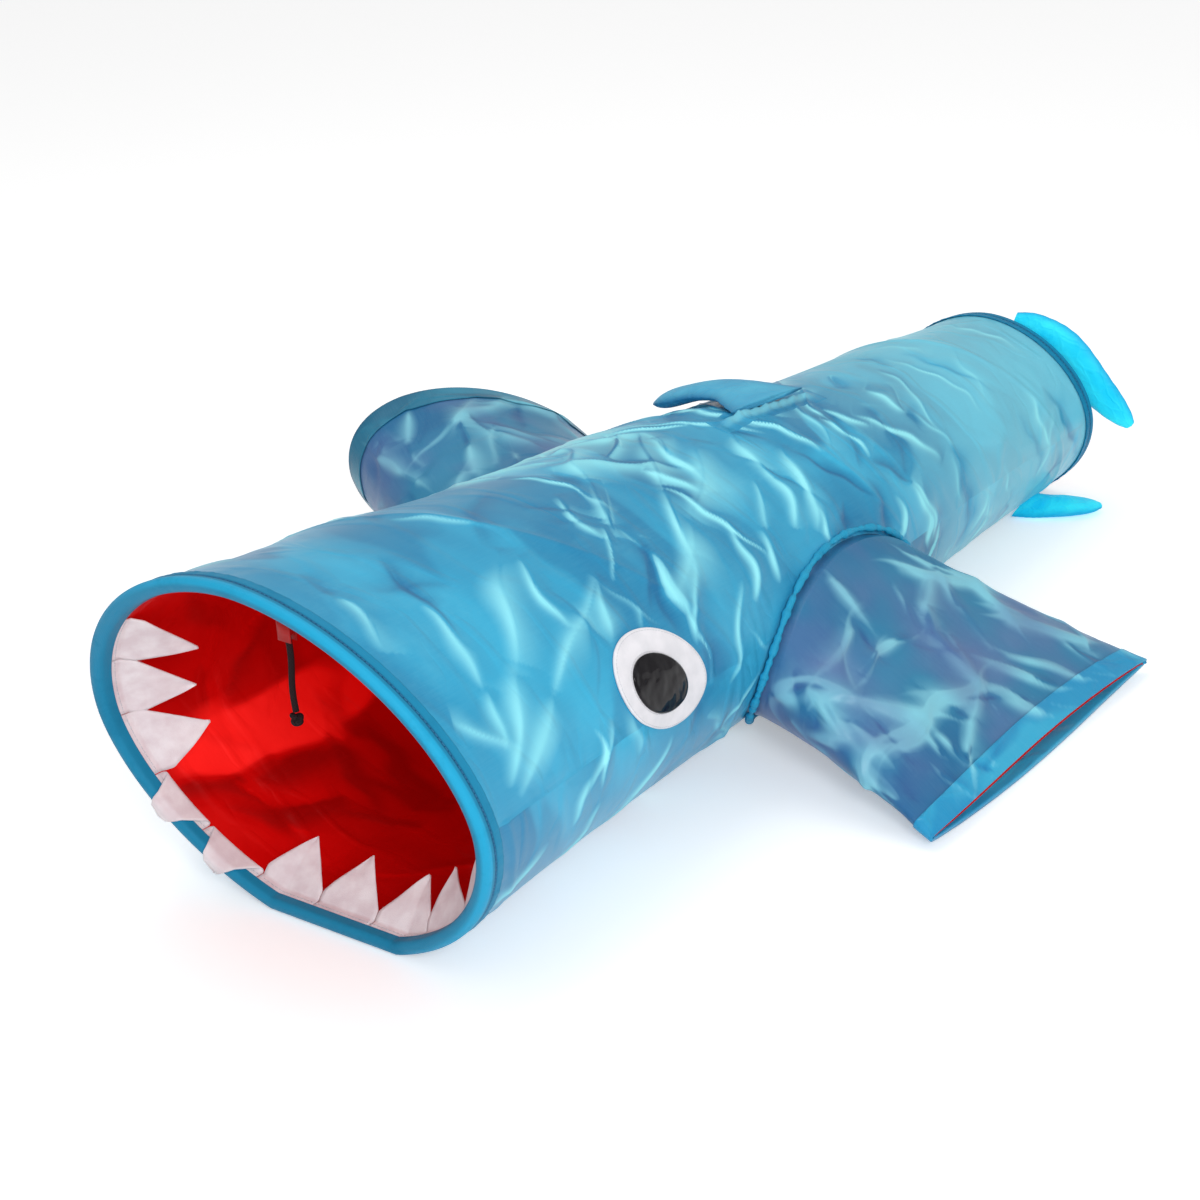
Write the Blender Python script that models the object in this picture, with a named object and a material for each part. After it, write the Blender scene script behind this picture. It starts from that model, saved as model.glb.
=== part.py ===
"""Shark-shaped pop-up cat tunnel, opened out on a floor. Metres, +Z up.

The mouth faces -Y and the tail +Y. The origin is the middle of the mouth binding's flat underside.
A place on the tunnel's wall is given by how far along the floor it is, its angle round the section
(0 at +X, a quarter turn at the top) and how far outside the skin's outer face it lies.
"""
import math

import bmesh
import bpy
from mathutils import Vector

# Tunnel: outer size at the mouth and the tail, between the middles of the two bindings.
MOUTH_WIDTH = 0.400
MOUTH_HEIGHT = 0.334
TAIL_WIDTH = 0.228
TAIL_HEIGHT = 0.203
LENGTH = 1.098
MOUTH_LEAN = math.tan(math.radians(12.9))
TAIL_LEAN = math.tan(math.radians(9.9))
SECTION_POWER = 1.87
TOUCH_GAP = 0.0004
MOUTH_BELLY_SINK = 0.0125
TAIL_BELLY_SINK = 0.0060
BELLY_CLEAR = 0.0016
AROUND = 40
STATIONS = 6
HALVINGS = 40

# Wall, from the outside in, as distances outside the skin's outer face.
SKIN_THICK = 0.0010
FILM_FACE = -0.0014
FILM_THICK = 0.0005
WIRE_CENTRE = -0.0037
WIRE_RADIUS = 0.00125
LINING_FACE = -0.0080
LINING_THICK = 0.0008
WALL_END = 0.0035

# Bindings and the hoops inside them. A binding's profile is (towards the wall, outwards).
BINDING_LEG = 0.010
BINDING_CLOTH = 0.0012
BINDING_OUTSIDE = 0.0016
BINDING_INSIDE = -0.0118
BINDING_FRONT = 0.0112
BINDING_BEND = -0.0052
BINDING_BEND_STEPS = 3
HOOP_RADIUS = 0.0015
HOOP_AHEAD = 0.0069
HOOP_SIDES = 6
FERRULE_RADIUS = 0.0022
FERRULE_BORE = 0.0018
FERRULE_LENGTH = 0.018
FERRULE_SIDES = 10
FERRULE_COLUMN = AROUND // 2 + 2

# Spring wire: how far along it lies at each quarter turn, as a share of the length. It starts on the
# near side and goes round by the belly, the far side and the back. It keeps ahead of both side exits,
# crosses the back above them and goes on behind them.
QUARTER_TURNS = (
    0.020, 0.045, 0.095, 0.187,
    0.325, 0.335, 0.350, 0.545,
    0.615, 0.700, 0.790, 0.870,
    0.930, 0.970,
)
POINTS_PER_TURN = 24

# Felt teeth.
TOOTH_COUNT = 13
TOOTH_FIRST = math.radians(140)
TOOTH_LAST = math.radians(400)
TOOTH_GAP = 0.0008
TOOTH_REACH = 0.056
TOOTH_THICK = 0.0010
TOOTH_FACE = -0.0092
TOOTH_LEAN = math.radians(36)
TOOTH_STEPS = 5
TOOTH_TUCK = 0.0010
TOOTH_BOW = 0.0015
TOOTH_TIP = 0.03
COLUMN_CLEAR = 0.01
RIM_SAMPLES = 1200

# Two teeth are turned out over the rim. Their path is (towards the wall, outwards, width share).
TURNED_OUT = (4, 5)
TURNED_FACE = BINDING_INSIDE - 0.0022
TURNED_PATH = (
    (BINDING_LEG + 0.0030, (TOOTH_FACE + TURNED_FACE) / 2, 0.93),
    (BINDING_LEG + 0.0010, TURNED_FACE, 0.86),
    (-BINDING_FRONT + 0.0040, TURNED_FACE, 0.52),
    (-BINDING_FRONT - 0.0030, TURNED_FACE + 0.0040, 0.42),
    (-BINDING_FRONT - 0.0040, TURNED_FACE + 0.0110, 0.30),
    (-BINDING_FRONT + 0.0040, BINDING_OUTSIDE + 0.0120, TOOTH_TIP),
)

# Side exits: an oval hole in each side of the wall, and a cloth sleeve sewn round it.
EXIT_Y = 0.508
EXIT_HEIGHT = 0.098
EXIT_HALF_LONG = 0.135
EXIT_HALF_TALL = 0.074
EXIT_AROUND = 32
EXIT_CUT = (0.03, 0.26)
SLEEVE_AROUND = 28
SLEEVE_SKIN = 0.0008
SLEEVE_LINING = 0.0006
SLEEVE_LINING_INSET = 0.0024
SLEEVE_ROOT_CLEAR = 0.0009
SLEEVE_COLLAR = 0.012
PIPING_RADIUS = 0.0040
PIPING_CLEAR = 0.0010
PIPING_SIDES = 6
HEM_CLOTH = 0.0010
HEM_GAP = 0.0010
HEM_SHARE = 0.875
SLEEVE_STEPS = (0.28, 0.58, HEM_SHARE)
SLEEVE_SKIN_END = 0.90

# The right sleeve lies collapsed, so its end is a long slot on the floor. The cloth layers need more
# room at the slot's sharp corners than along it.
FLAT_END = (0.345, 0.548, 0.0112)
FLAT_HALF_LONG = 0.197
FLAT_HALF_TALL = 0.0092
FLAT_CORNER_ROOM = 2.8
FLAT_SQUARENESS = 0.7
FLAT_WAVE = 0.002
FLAT_WAVES = 3
FLAT_WAVE_START = 0.6

# The left sleeve stands puffed, so its end is an oval that is swept back and droops to the rear.
PUFFED_END = (-0.341, 0.6215, 0.1100)
PUFFED_HALF_LONG = 0.167
PUFFED_HALF_TALL = 0.087
PUFFED_SWEEP = math.radians(20)
PUFFED_DROOP = math.radians(27)

# Stuffed fins: cloth, how far inside it the stuffing lies, and each fin's middle line from its root to
# its tip with the widths and thicknesses along it.
COVER_CLOTH = 0.0008
STUFFING_INSET = 0.0019
STUFFING_START = 0.2
STUFFING_STOP = 0.6
FIN_AROUND = 14
FIN_SHARES = (0.0, 0.16, 0.34, 0.52, 0.70, 0.86, 1.0)
FIN_TIP = 0.45
FIN_LOOK = 0.02
DORSAL_FRONT = 0.592
DORSAL_BACK = 0.712
DORSAL_ANGLE = math.radians(79)
DORSAL_STAND = 0.0078
DORSAL_LINE = (
    (0.0, 0.0, 0.0), (-0.034, 0.0, 0.0030), (-0.063, -0.006, 0.0010), (-0.091, -0.011, -0.0078),
    (-0.112, -0.014, -0.0160),
)
DORSAL_CHORDS = (0.118, 0.082, 0.064, 0.058, 0.044)
DORSAL_THICKNESSES = (0.006, 0.011, 0.015, 0.017, 0.013)
UPPER_LOBE_LINE = (
    (0.024, 1.0815, 0.1985), (0.048, 1.0870, 0.1900), (0.078, 1.0940, 0.1680),
    (0.114, 1.1020, 0.1250), (0.146, 1.1090, 0.0920),
)
UPPER_LOBE_CHORDS = (0.020, 0.030, 0.040, 0.036, 0.020)
UPPER_LOBE_THICKNESSES = (0.0100, 0.0125, 0.0140, 0.0130, 0.0090)
LOWER_LOBE_LINE = (
    (0.056, 1.044, 0.0046), (0.076, 1.047, 0.0075), (0.102, 1.056, 0.0084), (0.130, 1.074, 0.0072),
)
LOWER_LOBE_CHORDS = (0.072, 0.066, 0.050, 0.026)
LOWER_LOBE_THICKNESSES = (0.0076, 0.0130, 0.0150, 0.0100)
TAPE_WIDTH = 0.010
TAPE_THICK = 0.0012
TAPE_CLEAR = 0.0008
TAPE_BEYOND = 0.006

# Eyes: middle, half sizes and tilt on the wall, and the stack of felt.
EYE_ALONG = 0.256
EYE_ANGLE = math.radians(10)
EYE_HALF_LONG = 0.057
EYE_HALF_TALL = 0.047
EYE_TILT = math.radians(-28)
PUPIL_SHARE = 0.585
PUPIL_FORWARD = 0.006
EYE_AROUND = 28
EYE_RINGS = (0.38, 0.72, 1.0)
EYE_WHITE_HEIGHTS = (0.0010, 0.0024)
PUPIL_HEIGHTS = (0.0032, 0.0046)

# Toy cord.
CORD_RADIUS = 0.0025
CORD_X = 0.045
CORD_Y = -0.066
CORD_TOP = 0.300
CORD_PIVOT = 0.2975
CORD_END = 0.236
CORD_STEPS = 9
CORD_SWAY = 0.0012
KNOT_RADIUS = 0.0070
KNOT_SQUASH = 0.85
KNOT_SEGMENTS = 12
KNOT_RINGS = 8
TAB_WIDTH = 0.013
TAB_CLOTH = 0.0008
TAB_LOW = 0.2945
TAB_FOLD = 0.3020
TAB_TOP_CLEAR = 3 * TOUCH_GAP


def mix(first, last, share):
    return first + (last - first) * share


def material(name, colour, roughness, metallic=0.0):
    made = bpy.data.materials.new(name)
    made.use_nodes = True
    shader = made.node_tree.nodes["Principled BSDF"]
    shader.inputs["Base Color"].default_value = (*colour, 1.0)
    shader.inputs["Roughness"].default_value = roughness
    shader.inputs["Metallic"].default_value = metallic
    made.diffuse_color = (*colour, 1.0)
    return made


def add_object(name, data, finish, smooth=True):
    if smooth and isinstance(data, bpy.types.Mesh):
        data.shade_smooth()
        data.set_sharp_from_angle(angle=math.radians(35))
    data.materials.append(finish)
    made = bpy.data.objects.new(name, data)
    bpy.context.scene.collection.objects.link(made)
    return made


def add_mesh(name, shape, finish, smooth=True):
    """Turns a bmesh into a named object."""
    data = bpy.data.meshes.new(name)
    shape.to_mesh(data)
    shape.free()
    return add_object(name, data, finish, smooth)


def thicken(made, thickness):
    """Gives a cloth surface its thickness, on the side away from its normals."""
    solid = made.modifiers.new("Cloth thickness", "SOLIDIFY")
    solid.thickness = thickness
    solid.offset = -1.0
    solid.use_even_offset = True
    return made


def move_origin(made, point, parent=None):
    """Puts a piece's origin at a point of the world, and hangs it on a parent empty."""
    shift = Vector(point) - made.location
    if isinstance(made.data, bpy.types.Mesh):
        for vertex in made.data.vertices:
            vertex.co -= shift
    else:
        for spline in made.data.splines:
            for knot in spline.points:
                knot.co = (*(Vector(knot.co[:3]) - shift), 1.0)
    made.location = Vector(point)
    hang(made, parent)


def hang(made, parent):
    if parent is not None:
        made.parent = parent
        made.location -= place_of(parent)


def place_of(empty):
    place = empty.location.copy()
    if empty.parent:
        place += place_of(empty.parent)
    return place


def add_empty(name, point, parent=None):
    made = bpy.data.objects.new(name, None)
    made.empty_display_size = 0.03
    made.location = Vector(point)
    bpy.context.scene.collection.objects.link(made)
    hang(made, parent)
    return made


# Shapes made by passing a skin through rings of points.
def through_rings(rings, loop=False):
    """A tube through closed rings. Its faces point away from the ring's middle when the ring turns
    anticlockwise seen along the tube from behind its first ring."""
    shape = bmesh.new()
    rows = [[shape.verts.new(point) for point in ring] for ring in rings]
    following = rows[1:] + rows[:1] if loop else rows[1:]
    for row, after in zip(rows, following):
        for i in range(len(row)):
            j = (i + 1) % len(row)
            shape.faces.new((row[i], after[i], after[j], row[j]))
    return shape, rows


def point_outwards(shape):
    bmesh.ops.recalc_face_normals(shape, faces=shape.faces)


def close_with_pole(shape, row, point):
    tip = shape.verts.new(point)
    for i in range(len(row)):
        shape.faces.new((row[i], tip, row[(i + 1) % len(row)]))


# The tunnel's wall.
def lean_at(along):
    return mix(MOUTH_LEAN, TAIL_LEAN, along / LENGTH)


def section(along, angle):
    """The skin's outer face at one station: a flattened oval that stands on its belly."""
    share = along / LENGTH
    half = mix(MOUTH_WIDTH, TAIL_WIDTH, share) / 2
    sink = mix(MOUTH_BELLY_SINK, TAIL_BELLY_SINK, share)
    tall = (mix(MOUTH_HEIGHT, TAIL_HEIGHT, share) + sink) / 2
    power = 2 / SECTION_POWER
    across = math.copysign(abs(math.cos(angle)) ** power, math.cos(angle))
    up = math.copysign(abs(math.sin(angle)) ** power, math.sin(angle))
    return half * across, max(tall * (1 + up) - sink, 0.0)


def column_point(along, column, outwards):
    """A point on one of the lines that run from the mouth to the tail."""
    step = math.tau / AROUND
    x, z = section(along, column * step)
    next_x, next_z = section(along, (column + 1) * step)
    last_x, last_z = section(along, (column - 1) * step)
    normal = Vector((next_z - last_z, last_x - next_x)).normalized()
    x += outwards * normal.x
    z += outwards * normal.y + BELLY_CLEAR
    return Vector((x, along - lean_at(along) * z, z))


def wall_point(along, angle, outwards=0.0):
    """A point on the flat facet between two such lines."""
    place = (angle % math.tau) / (math.tau / AROUND)
    column = math.floor(place)
    first = column_point(along, column, outwards)
    return first.lerp(column_point(along, column + 1, outwards), place - column)


def wall_across(along, angle, outwards=0.0):
    """The unit vector round the wall, and the length of one radian there."""
    half = 0.06
    span = wall_point(along, angle + half, outwards) - wall_point(along, angle - half, outwards)
    return span.normalized(), span.length / (2 * half)


def side_place(y, z):
    """How far along and at which angle the wall's near side passes a place seen from the side."""
    along = y + mix(MOUTH_LEAN, TAIL_LEAN, y / LENGTH) * z
    low, high = -math.pi / 2, math.pi / 2
    for _ in range(HALVINGS):
        middle = (low + high) / 2
        if section(along, middle)[1] + BELLY_CLEAR < z:
            low = middle
        else:
            high = middle
    return along, middle


def wall_layer(name, face, thickness, finish):
    stations = [mix(-WALL_END, LENGTH + WALL_END, i / (STATIONS - 1)) for i in range(STATIONS)]
    rings = [[column_point(along, column, face) for column in range(AROUND)] for along in stations]
    shape, _ = through_rings(rings)
    return thicken(add_mesh(name, shape, finish), thickness)


def ring_of_profile(name, profile, end, finish):
    """A closed profile carried round the mouth (end -1) or the tail (end +1)."""
    start = 0.0 if end < 0 else LENGTH
    rings = [
        [column_point(start - end * inwards, column, outwards) for inwards, outwards in profile]
        for column in range(AROUND)
    ]
    shape, _ = through_rings(rings, loop=True)
    point_outwards(shape)
    return add_mesh(name, shape, finish)


def arc(centre, radius, first, last, steps):
    """Points of an arc as (towards the wall, outwards), with radius as (towards, outwards)."""
    angles = [mix(first, last, i / steps) for i in range(steps + 1)]
    return [(centre[0] + radius[0] * math.cos(a), centre[1] + radius[1] * math.sin(a)) for a in angles]


def binding_profile():
    """A strip folded over the wall's edge: out along one leg, round the fold and back inside itself."""
    middle = (BINDING_OUTSIDE + BINDING_INSIDE) / 2
    outer = (BINDING_OUTSIDE - BINDING_INSIDE) / 2
    inner = outer - BINDING_CLOTH
    quarter = math.pi / 2
    deep = BINDING_FRONT + BINDING_BEND
    steps = BINDING_BEND_STEPS
    outside = arc((BINDING_BEND, middle), (deep, outer), quarter, 3 * quarter, steps)
    inside = arc((BINDING_BEND, middle), (deep - BINDING_CLOTH, inner), 3 * quarter, quarter, steps)
    legs_in = [(BINDING_LEG, middle - outer), (BINDING_LEG, middle - inner)]
    legs_out = [(BINDING_LEG, middle + inner), (BINDING_LEG, middle + outer)]
    return outside + legs_in + inside + legs_out


def make_bindings(finish):
    for name, end in (("mouth_binding", -1), ("tail_binding", 1)):
        yield ring_of_profile(name, binding_profile(), end, finish)


def hoop_middle():
    return (-HOOP_AHEAD, (BINDING_OUTSIDE + BINDING_INSIDE) / 2)


def make_hoop(name, end, finish):
    ahead, outwards = hoop_middle()
    turns = [math.tau * i / HOOP_SIDES for i in range(HOOP_SIDES)]
    profile = [(ahead + HOOP_RADIUS * math.cos(a), outwards + HOOP_RADIUS * math.sin(a)) for a in turns]
    return ring_of_profile(name, profile, end, finish)


def make_ferrule(name, end, finish):
    """The crimped sleeve over the hoop's joint, on one straight facet of the far side."""
    start = 0.0 if end < 0 else LENGTH
    ahead, outwards = hoop_middle()
    first = column_point(start - end * ahead, FERRULE_COLUMN, outwards)
    last = column_point(start - end * ahead, FERRULE_COLUMN + 1, outwards)
    direction = (last - first).normalized()
    middle = first.lerp(last, 0.5)
    side = direction.orthogonal().normalized()
    other = direction.cross(side)
    profile = (
        (-FERRULE_LENGTH / 2, FERRULE_RADIUS), (FERRULE_LENGTH / 2, FERRULE_RADIUS),
        (FERRULE_LENGTH / 2, FERRULE_BORE), (-FERRULE_LENGTH / 2, FERRULE_BORE),
    )
    rings = []
    for i in range(FERRULE_SIDES):
        turn = math.tau * i / FERRULE_SIDES
        away = side * math.cos(turn) + other * math.sin(turn)
        rings.append([middle + direction * step + away * radius for step, radius in profile])
    shape, _ = through_rings(rings, loop=True)
    point_outwards(shape)
    return add_mesh(name, shape, finish)


# The spring wire.
def wire_along(turn):
    """How far along the wire lies, by a curve through the quarter turns that never runs backwards."""
    place = min(turn / (math.pi / 2), len(QUARTER_TURNS) - 1.0001)
    index = int(place)
    steps = [b - a for a, b in zip(QUARTER_TURNS, QUARTER_TURNS[1:])]
    slopes = [steps[0]] + [2 * a * b / (a + b) for a, b in zip(steps, steps[1:])] + [steps[-1]]
    f = place - index
    low, high = QUARTER_TURNS[index], QUARTER_TURNS[index + 1]
    curve = (1 + 2 * f) * (1 - f) ** 2 * low + f * f * (3 - 2 * f) * high
    curve += f * (1 - f) ** 2 * slopes[index] - f * f * (1 - f) * slopes[index + 1]
    return LENGTH * curve


def wire_points():
    quarters = len(QUARTER_TURNS) - 1
    count = quarters * POINTS_PER_TURN // 4
    turns = [math.tau * i / POINTS_PER_TURN for i in range(count + 1)]
    return [wall_point(wire_along(turn), -turn, WIRE_CENTRE) for turn in turns]


def least_gap(points, radius, skip):
    """The smallest clear distance between stretches of a wire that are not neighbours."""
    nearest = min(
        (first - second).length
        for i, first in enumerate(points)
        for second in points[i + skip:]
    )
    return nearest - 2 * radius


def round_wire(name, points, radius, sides_step, finish):
    data = bpy.data.curves.new(name, "CURVE")
    data.dimensions = "3D"
    data.bevel_depth = radius
    data.bevel_resolution = sides_step
    data.use_fill_caps = True
    spline = data.splines.new("POLY")
    spline.points.add(len(points) - 1)
    for knot, point in zip(spline.points, points):
        knot.co = (*point, 1.0)
    return add_object(name, data, finish)


# Teeth.
def rim_angles():
    """The two side angles of each tooth, spaced evenly round the rim."""
    angles = [mix(TOOTH_FIRST, TOOTH_LAST, i / RIM_SAMPLES) for i in range(RIM_SAMPLES + 1)]
    places = [wall_point(0.0, angle, TOOTH_FACE) for angle in angles]
    lengths = [0.0]
    for first, second in zip(places, places[1:]):
        lengths.append(lengths[-1] + (second - first).length)
    pitch = lengths[-1] / TOOTH_COUNT

    def angle_at(wanted):
        return angles[next(i for i, length in enumerate(lengths) if length >= wanted)]

    half_gap = TOOTH_GAP / 2
    return [
        (angle_at(tooth * pitch + half_gap), angle_at((tooth + 1) * pitch - half_gap))
        for tooth in range(TOOTH_COUNT)
    ]


def tooth_path(turned_out):
    """The tooth's middle line as (towards the wall, outwards, width share), from its sewn tab."""
    tab = [(-TOOTH_TUCK, TOOTH_FACE, 1.0), (BINDING_LEG + TOOTH_TUCK, TOOTH_FACE, 1.0)]
    if turned_out:
        return [*tab, *TURNED_PATH]
    for i in range(1, TOOTH_STEPS + 1):
        share = i / TOOTH_STEPS
        reach = TOOTH_REACH * share
        bow = math.sin(math.pi * share) * TOOTH_BOW
        towards = BINDING_LEG + TOOTH_TUCK + reach * math.cos(TOOTH_LEAN)
        outwards = TOOTH_FACE - reach * math.sin(TOOTH_LEAN) - bow
        tab.append((towards, outwards, mix(1.0, TOOTH_TIP, share)))
    return tab


def tooth_columns(low, high):
    """The two sides of a tooth, and the wall's own lines between them, so that its tab lies flat."""
    step = math.tau / AROUND
    lines = [n * step for n in range(math.ceil(low / step), math.floor(high / step) + 1)]
    inside = [a for a in lines if low + COLUMN_CLEAR < a < high - COLUMN_CLEAR]
    return [low, *inside, high]


def make_tooth(number, low, high, finish):
    path = tooth_path(number in TURNED_OUT)
    angle = (low + high) / 2
    across, radian = wall_across(0.0, angle, TOOTH_FACE)
    columns = tooth_columns(low, high)
    shape = bmesh.new()
    rows = []
    for index, (inwards, outwards, share) in enumerate(path):
        middle = wall_point(inwards, angle, outwards)
        flatness = 0.0 if index < 2 else index / (len(path) - 1)
        row = []
        for column in columns:
            curved = wall_point(inwards, angle + (column - angle) * share, outwards)
            flat = middle + across * (column - angle) * radian * share
            row.append(shape.verts.new(curved.lerp(flat, flatness)))
        rows.append(row)
    for row, after in zip(rows, rows[1:]):
        for i in range(len(row) - 1):
            shape.faces.new((row[i], after[i], after[i + 1], row[i + 1]))
    return thicken(add_mesh(f"tooth_{number:02d}", shape, finish), TOOTH_THICK)


def make_teeth(finish):
    for index, (low, high) in enumerate(rim_angles()):
        make_tooth(index + 1, low, high, finish)


# Side exits: each sleeve runs from an oval hole in the wall to its open end.
def exit_ring(side, inset, outwards, push=0.0):
    """The oval root of a sleeve on the wall, shrunk by the inset and pushed out along X."""
    ring = []
    for i in range(SLEEVE_AROUND):
        turn = math.tau * i / SLEEVE_AROUND
        y = EXIT_Y + (EXIT_HALF_LONG - inset) * math.cos(turn)
        z = EXIT_HEIGHT + (EXIT_HALF_TALL - inset) * math.sin(turn)
        point = wall_point(*side_place(y, z), outwards)
        ring.append(Vector((side * (point.x + push), point.y, point.z)))
    return ring


def flat_end_ring(inset):
    """The slot at the end of the collapsed sleeve, with a slight wave in its edge."""
    half_long = FLAT_HALF_LONG - inset * FLAT_CORNER_ROOM
    half_tall = FLAT_HALF_TALL - inset
    ring = []
    for i in range(SLEEVE_AROUND):
        turn = math.tau * i / SLEEVE_AROUND
        up = math.copysign(abs(math.sin(turn)) ** FLAT_SQUARENESS, math.sin(turn))
        wave = FLAT_WAVE * math.sin(turn * FLAT_WAVES + FLAT_WAVE_START)
        ring.append(Vector(FLAT_END) + Vector((wave, half_long * math.cos(turn), half_tall * up)))
    return ring


def puffed_end_ring(inset):
    """The leaning oval at the end of the puffed sleeve, which rests on the floor."""
    level = Vector((math.sin(PUFFED_SWEEP), math.cos(PUFFED_SWEEP), 0.0))
    upright = Vector((0.0, 0.0, 1.0))
    long_axis = level * math.cos(PUFFED_DROOP) - upright * math.sin(PUFFED_DROOP)
    tall_axis = level * math.sin(PUFFED_DROOP) + upright * math.cos(PUFFED_DROOP)
    ring = []
    for i in range(SLEEVE_AROUND):
        turn = math.tau * i / SLEEVE_AROUND
        long = (PUFFED_HALF_LONG - inset) * math.cos(turn)
        tall = (PUFFED_HALF_TALL - inset) * math.sin(turn)
        ring.append(Vector(PUFFED_END) + long_axis * long + tall_axis * tall)
    return ring


def sleeve_rings(side, inset, last=1.0):
    """Rings from a sleeve's root to a share of its length."""
    root = exit_ring(side, inset, SLEEVE_ROOT_CLEAR)
    collar = exit_ring(side, inset, SLEEVE_ROOT_CLEAR, SLEEVE_COLLAR)
    end = flat_end_ring(inset) if side > 0 else puffed_end_ring(inset)
    rings = [root, collar]
    for share in (*SLEEVE_STEPS, last):
        rings.append([first.lerp(last, share) for first, last in zip(collar, end)])
    return rings


def sleeve_shell(name, side, thickness, finish, rings):
    shape, _ = through_rings(rings)
    if side > 0:
        bmesh.ops.reverse_faces(shape, faces=shape.faces)
    return thicken(add_mesh(name, shape, finish), thickness)


def make_sleeve(side, word, finishes):
    skin, lining, piping, hem = finishes
    sleeve_shell(f"{word}_fin_skin", side, SLEEVE_SKIN, skin, sleeve_rings(side, 0.0, SLEEVE_SKIN_END))
    inner = sleeve_rings(side, SLEEVE_LINING_INSET)
    sleeve_shell(f"{word}_fin_lining", side, SLEEVE_LINING, lining, inner)
    band = sleeve_rings(side, -(HEM_CLOTH + HEM_GAP))[-2:]
    sleeve_shell(f"{word}_fin_hem", side, HEM_CLOTH, hem, band)
    make_piping(f"{word}_fin_root_piping", side, piping)


def make_piping(name, side, finish):
    """A corded seam round the root of a sleeve, in the corner between it and the wall."""
    stand_off = PIPING_RADIUS + PIPING_CLEAR
    ring = exit_ring(side, -stand_off, stand_off)
    rings = []
    for i, middle in enumerate(ring):
        direction = (ring[(i + 1) % len(ring)] - ring[i - 1]).normalized()
        first = direction.cross(Vector((1.0, 0.0, 0.0))).normalized()
        second = direction.cross(first).normalized()
        turns = [math.tau * k / PIPING_SIDES for k in range(PIPING_SIDES)]
        spokes = [first * math.cos(a) + second * math.sin(a) for a in turns]
        rings.append([middle + spoke * PIPING_RADIUS for spoke in spokes])
    shape, _ = through_rings(rings, loop=True)
    point_outwards(shape)
    return add_mesh(name, shape, finish)


def make_exit_cutter(side):
    """An oval bar along X that opens one side of the wall."""
    turns = [math.tau * i / EXIT_AROUND for i in range(EXIT_AROUND)]
    rings = []
    for x in EXIT_CUT:
        rings.append([
            (side * x, EXIT_Y + EXIT_HALF_LONG * math.cos(a), EXIT_HEIGHT + EXIT_HALF_TALL * math.sin(a))
            for a in turns
        ])
    shape, rows = through_rings(rings)
    shape.faces.new(rows[0])
    shape.faces.new(rows[-1])
    point_outwards(shape)
    name = "right_exit_cutter" if side > 0 else "left_exit_cutter"
    cutter = add_mesh(name, shape, material("cutter", (1, 0, 0), 0.5), smooth=False)
    cutter.hide_render = True
    cutter.display_type = "WIRE"
    return cutter


def cut_exits(layers):
    for side in (1, -1):
        cutter = make_exit_cutter(side)
        for layer in layers:
            cut = layer.modifiers.new(f"Exit {side}", "BOOLEAN")
            cut.operation = "DIFFERENCE"
            cut.solver = "EXACT"
            cut.object = cutter


# Stuffed fins: a flat oval section that swells and tapers along a bent middle line.
def smooth_line(points, share):
    """A Catmull-Rom curve through a few points."""
    place = share * (len(points) - 1)
    index = min(int(place), len(points) - 2)
    f = place - index
    before = points[max(index - 1, 0)]
    first, second = points[index], points[index + 1]
    after = points[min(index + 2, len(points) - 1)]
    return (
        (first * 2)
        + (second - before) * f
        + (before * 2 - first * 5 + second * 4 - after) * f * f
        + (first * 3 - before - second * 3 + after) * f ** 3
    ) / 2


def fin_rings(line, flat_axis, chords, thicknesses, inset):
    rings = []
    for share in FIN_SHARES:
        middle = smooth_line(line, share)
        ahead = smooth_line(line, min(share + FIN_LOOK, 1.0)) - smooth_line(line, max(share - FIN_LOOK, 0.0))
        ahead.normalize()
        chord_axis = flat_axis.cross(ahead).normalized()
        thick_axis = ahead.cross(chord_axis).normalized()
        half_chord = smooth_line(chords, share) / 2 - inset
        half_thick = smooth_line(thicknesses, share) / 2 - inset
        ring = []
        for i in range(FIN_AROUND):
            turn = math.tau * i / FIN_AROUND
            spoke = chord_axis * half_chord * math.cos(turn) + thick_axis * half_thick * math.sin(turn)
            ring.append(middle + spoke)
        rings.append(ring)
    return rings


def make_stuffed(name, line, flat_axis, chords, thicknesses, finishes):
    """A sewn cover, open where it is stitched down, and the stuffing inside it."""
    cover_finish, stuffing_finish = finishes
    line = [Vector(point) for point in line]
    flat_axis = Vector(flat_axis)
    tip = line[-1]
    reach = (tip - line[-2]).normalized()
    rings = fin_rings(line, flat_axis, chords, thicknesses, 0.0)
    shape, rows = through_rings(rings)
    close_with_pole(shape, rows[-1], tip + reach * thicknesses[-1] * FIN_TIP)
    cover = thicken(add_mesh(f"{name}_cover", shape, cover_finish), COVER_CLOTH)
    rings = fin_rings(line, flat_axis, chords, thicknesses, STUFFING_INSET)
    rings[0] = [first.lerp(second, STUFFING_START) for first, second in zip(rings[0], rings[1])]
    rings[-1] = [first.lerp(second, STUFFING_STOP) for first, second in zip(rings[-2], rings[-1])]
    shape, rows = through_rings(rings)
    shape.faces.new(rows[0])
    shape.faces.new(rows[-1])
    point_outwards(shape)
    return cover, add_mesh(f"{name}_stuffing", shape, stuffing_finish)


def seam_place(along, across=0.0, up=0.0):
    """A place near the line along the back that the dorsal fin is sewn to."""
    sideways, _ = wall_across(along, DORSAL_ANGLE)
    return wall_point(along, DORSAL_ANGLE, up) - sideways * across


def bar_between(name, ends, finish):
    """A bar from one outline to another with the same number of corners."""
    shape, rows = through_rings(ends)
    shape.faces.new(rows[0])
    shape.faces.new(rows[1])
    point_outwards(shape)
    return add_mesh(name, shape, finish, smooth=False)


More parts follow.
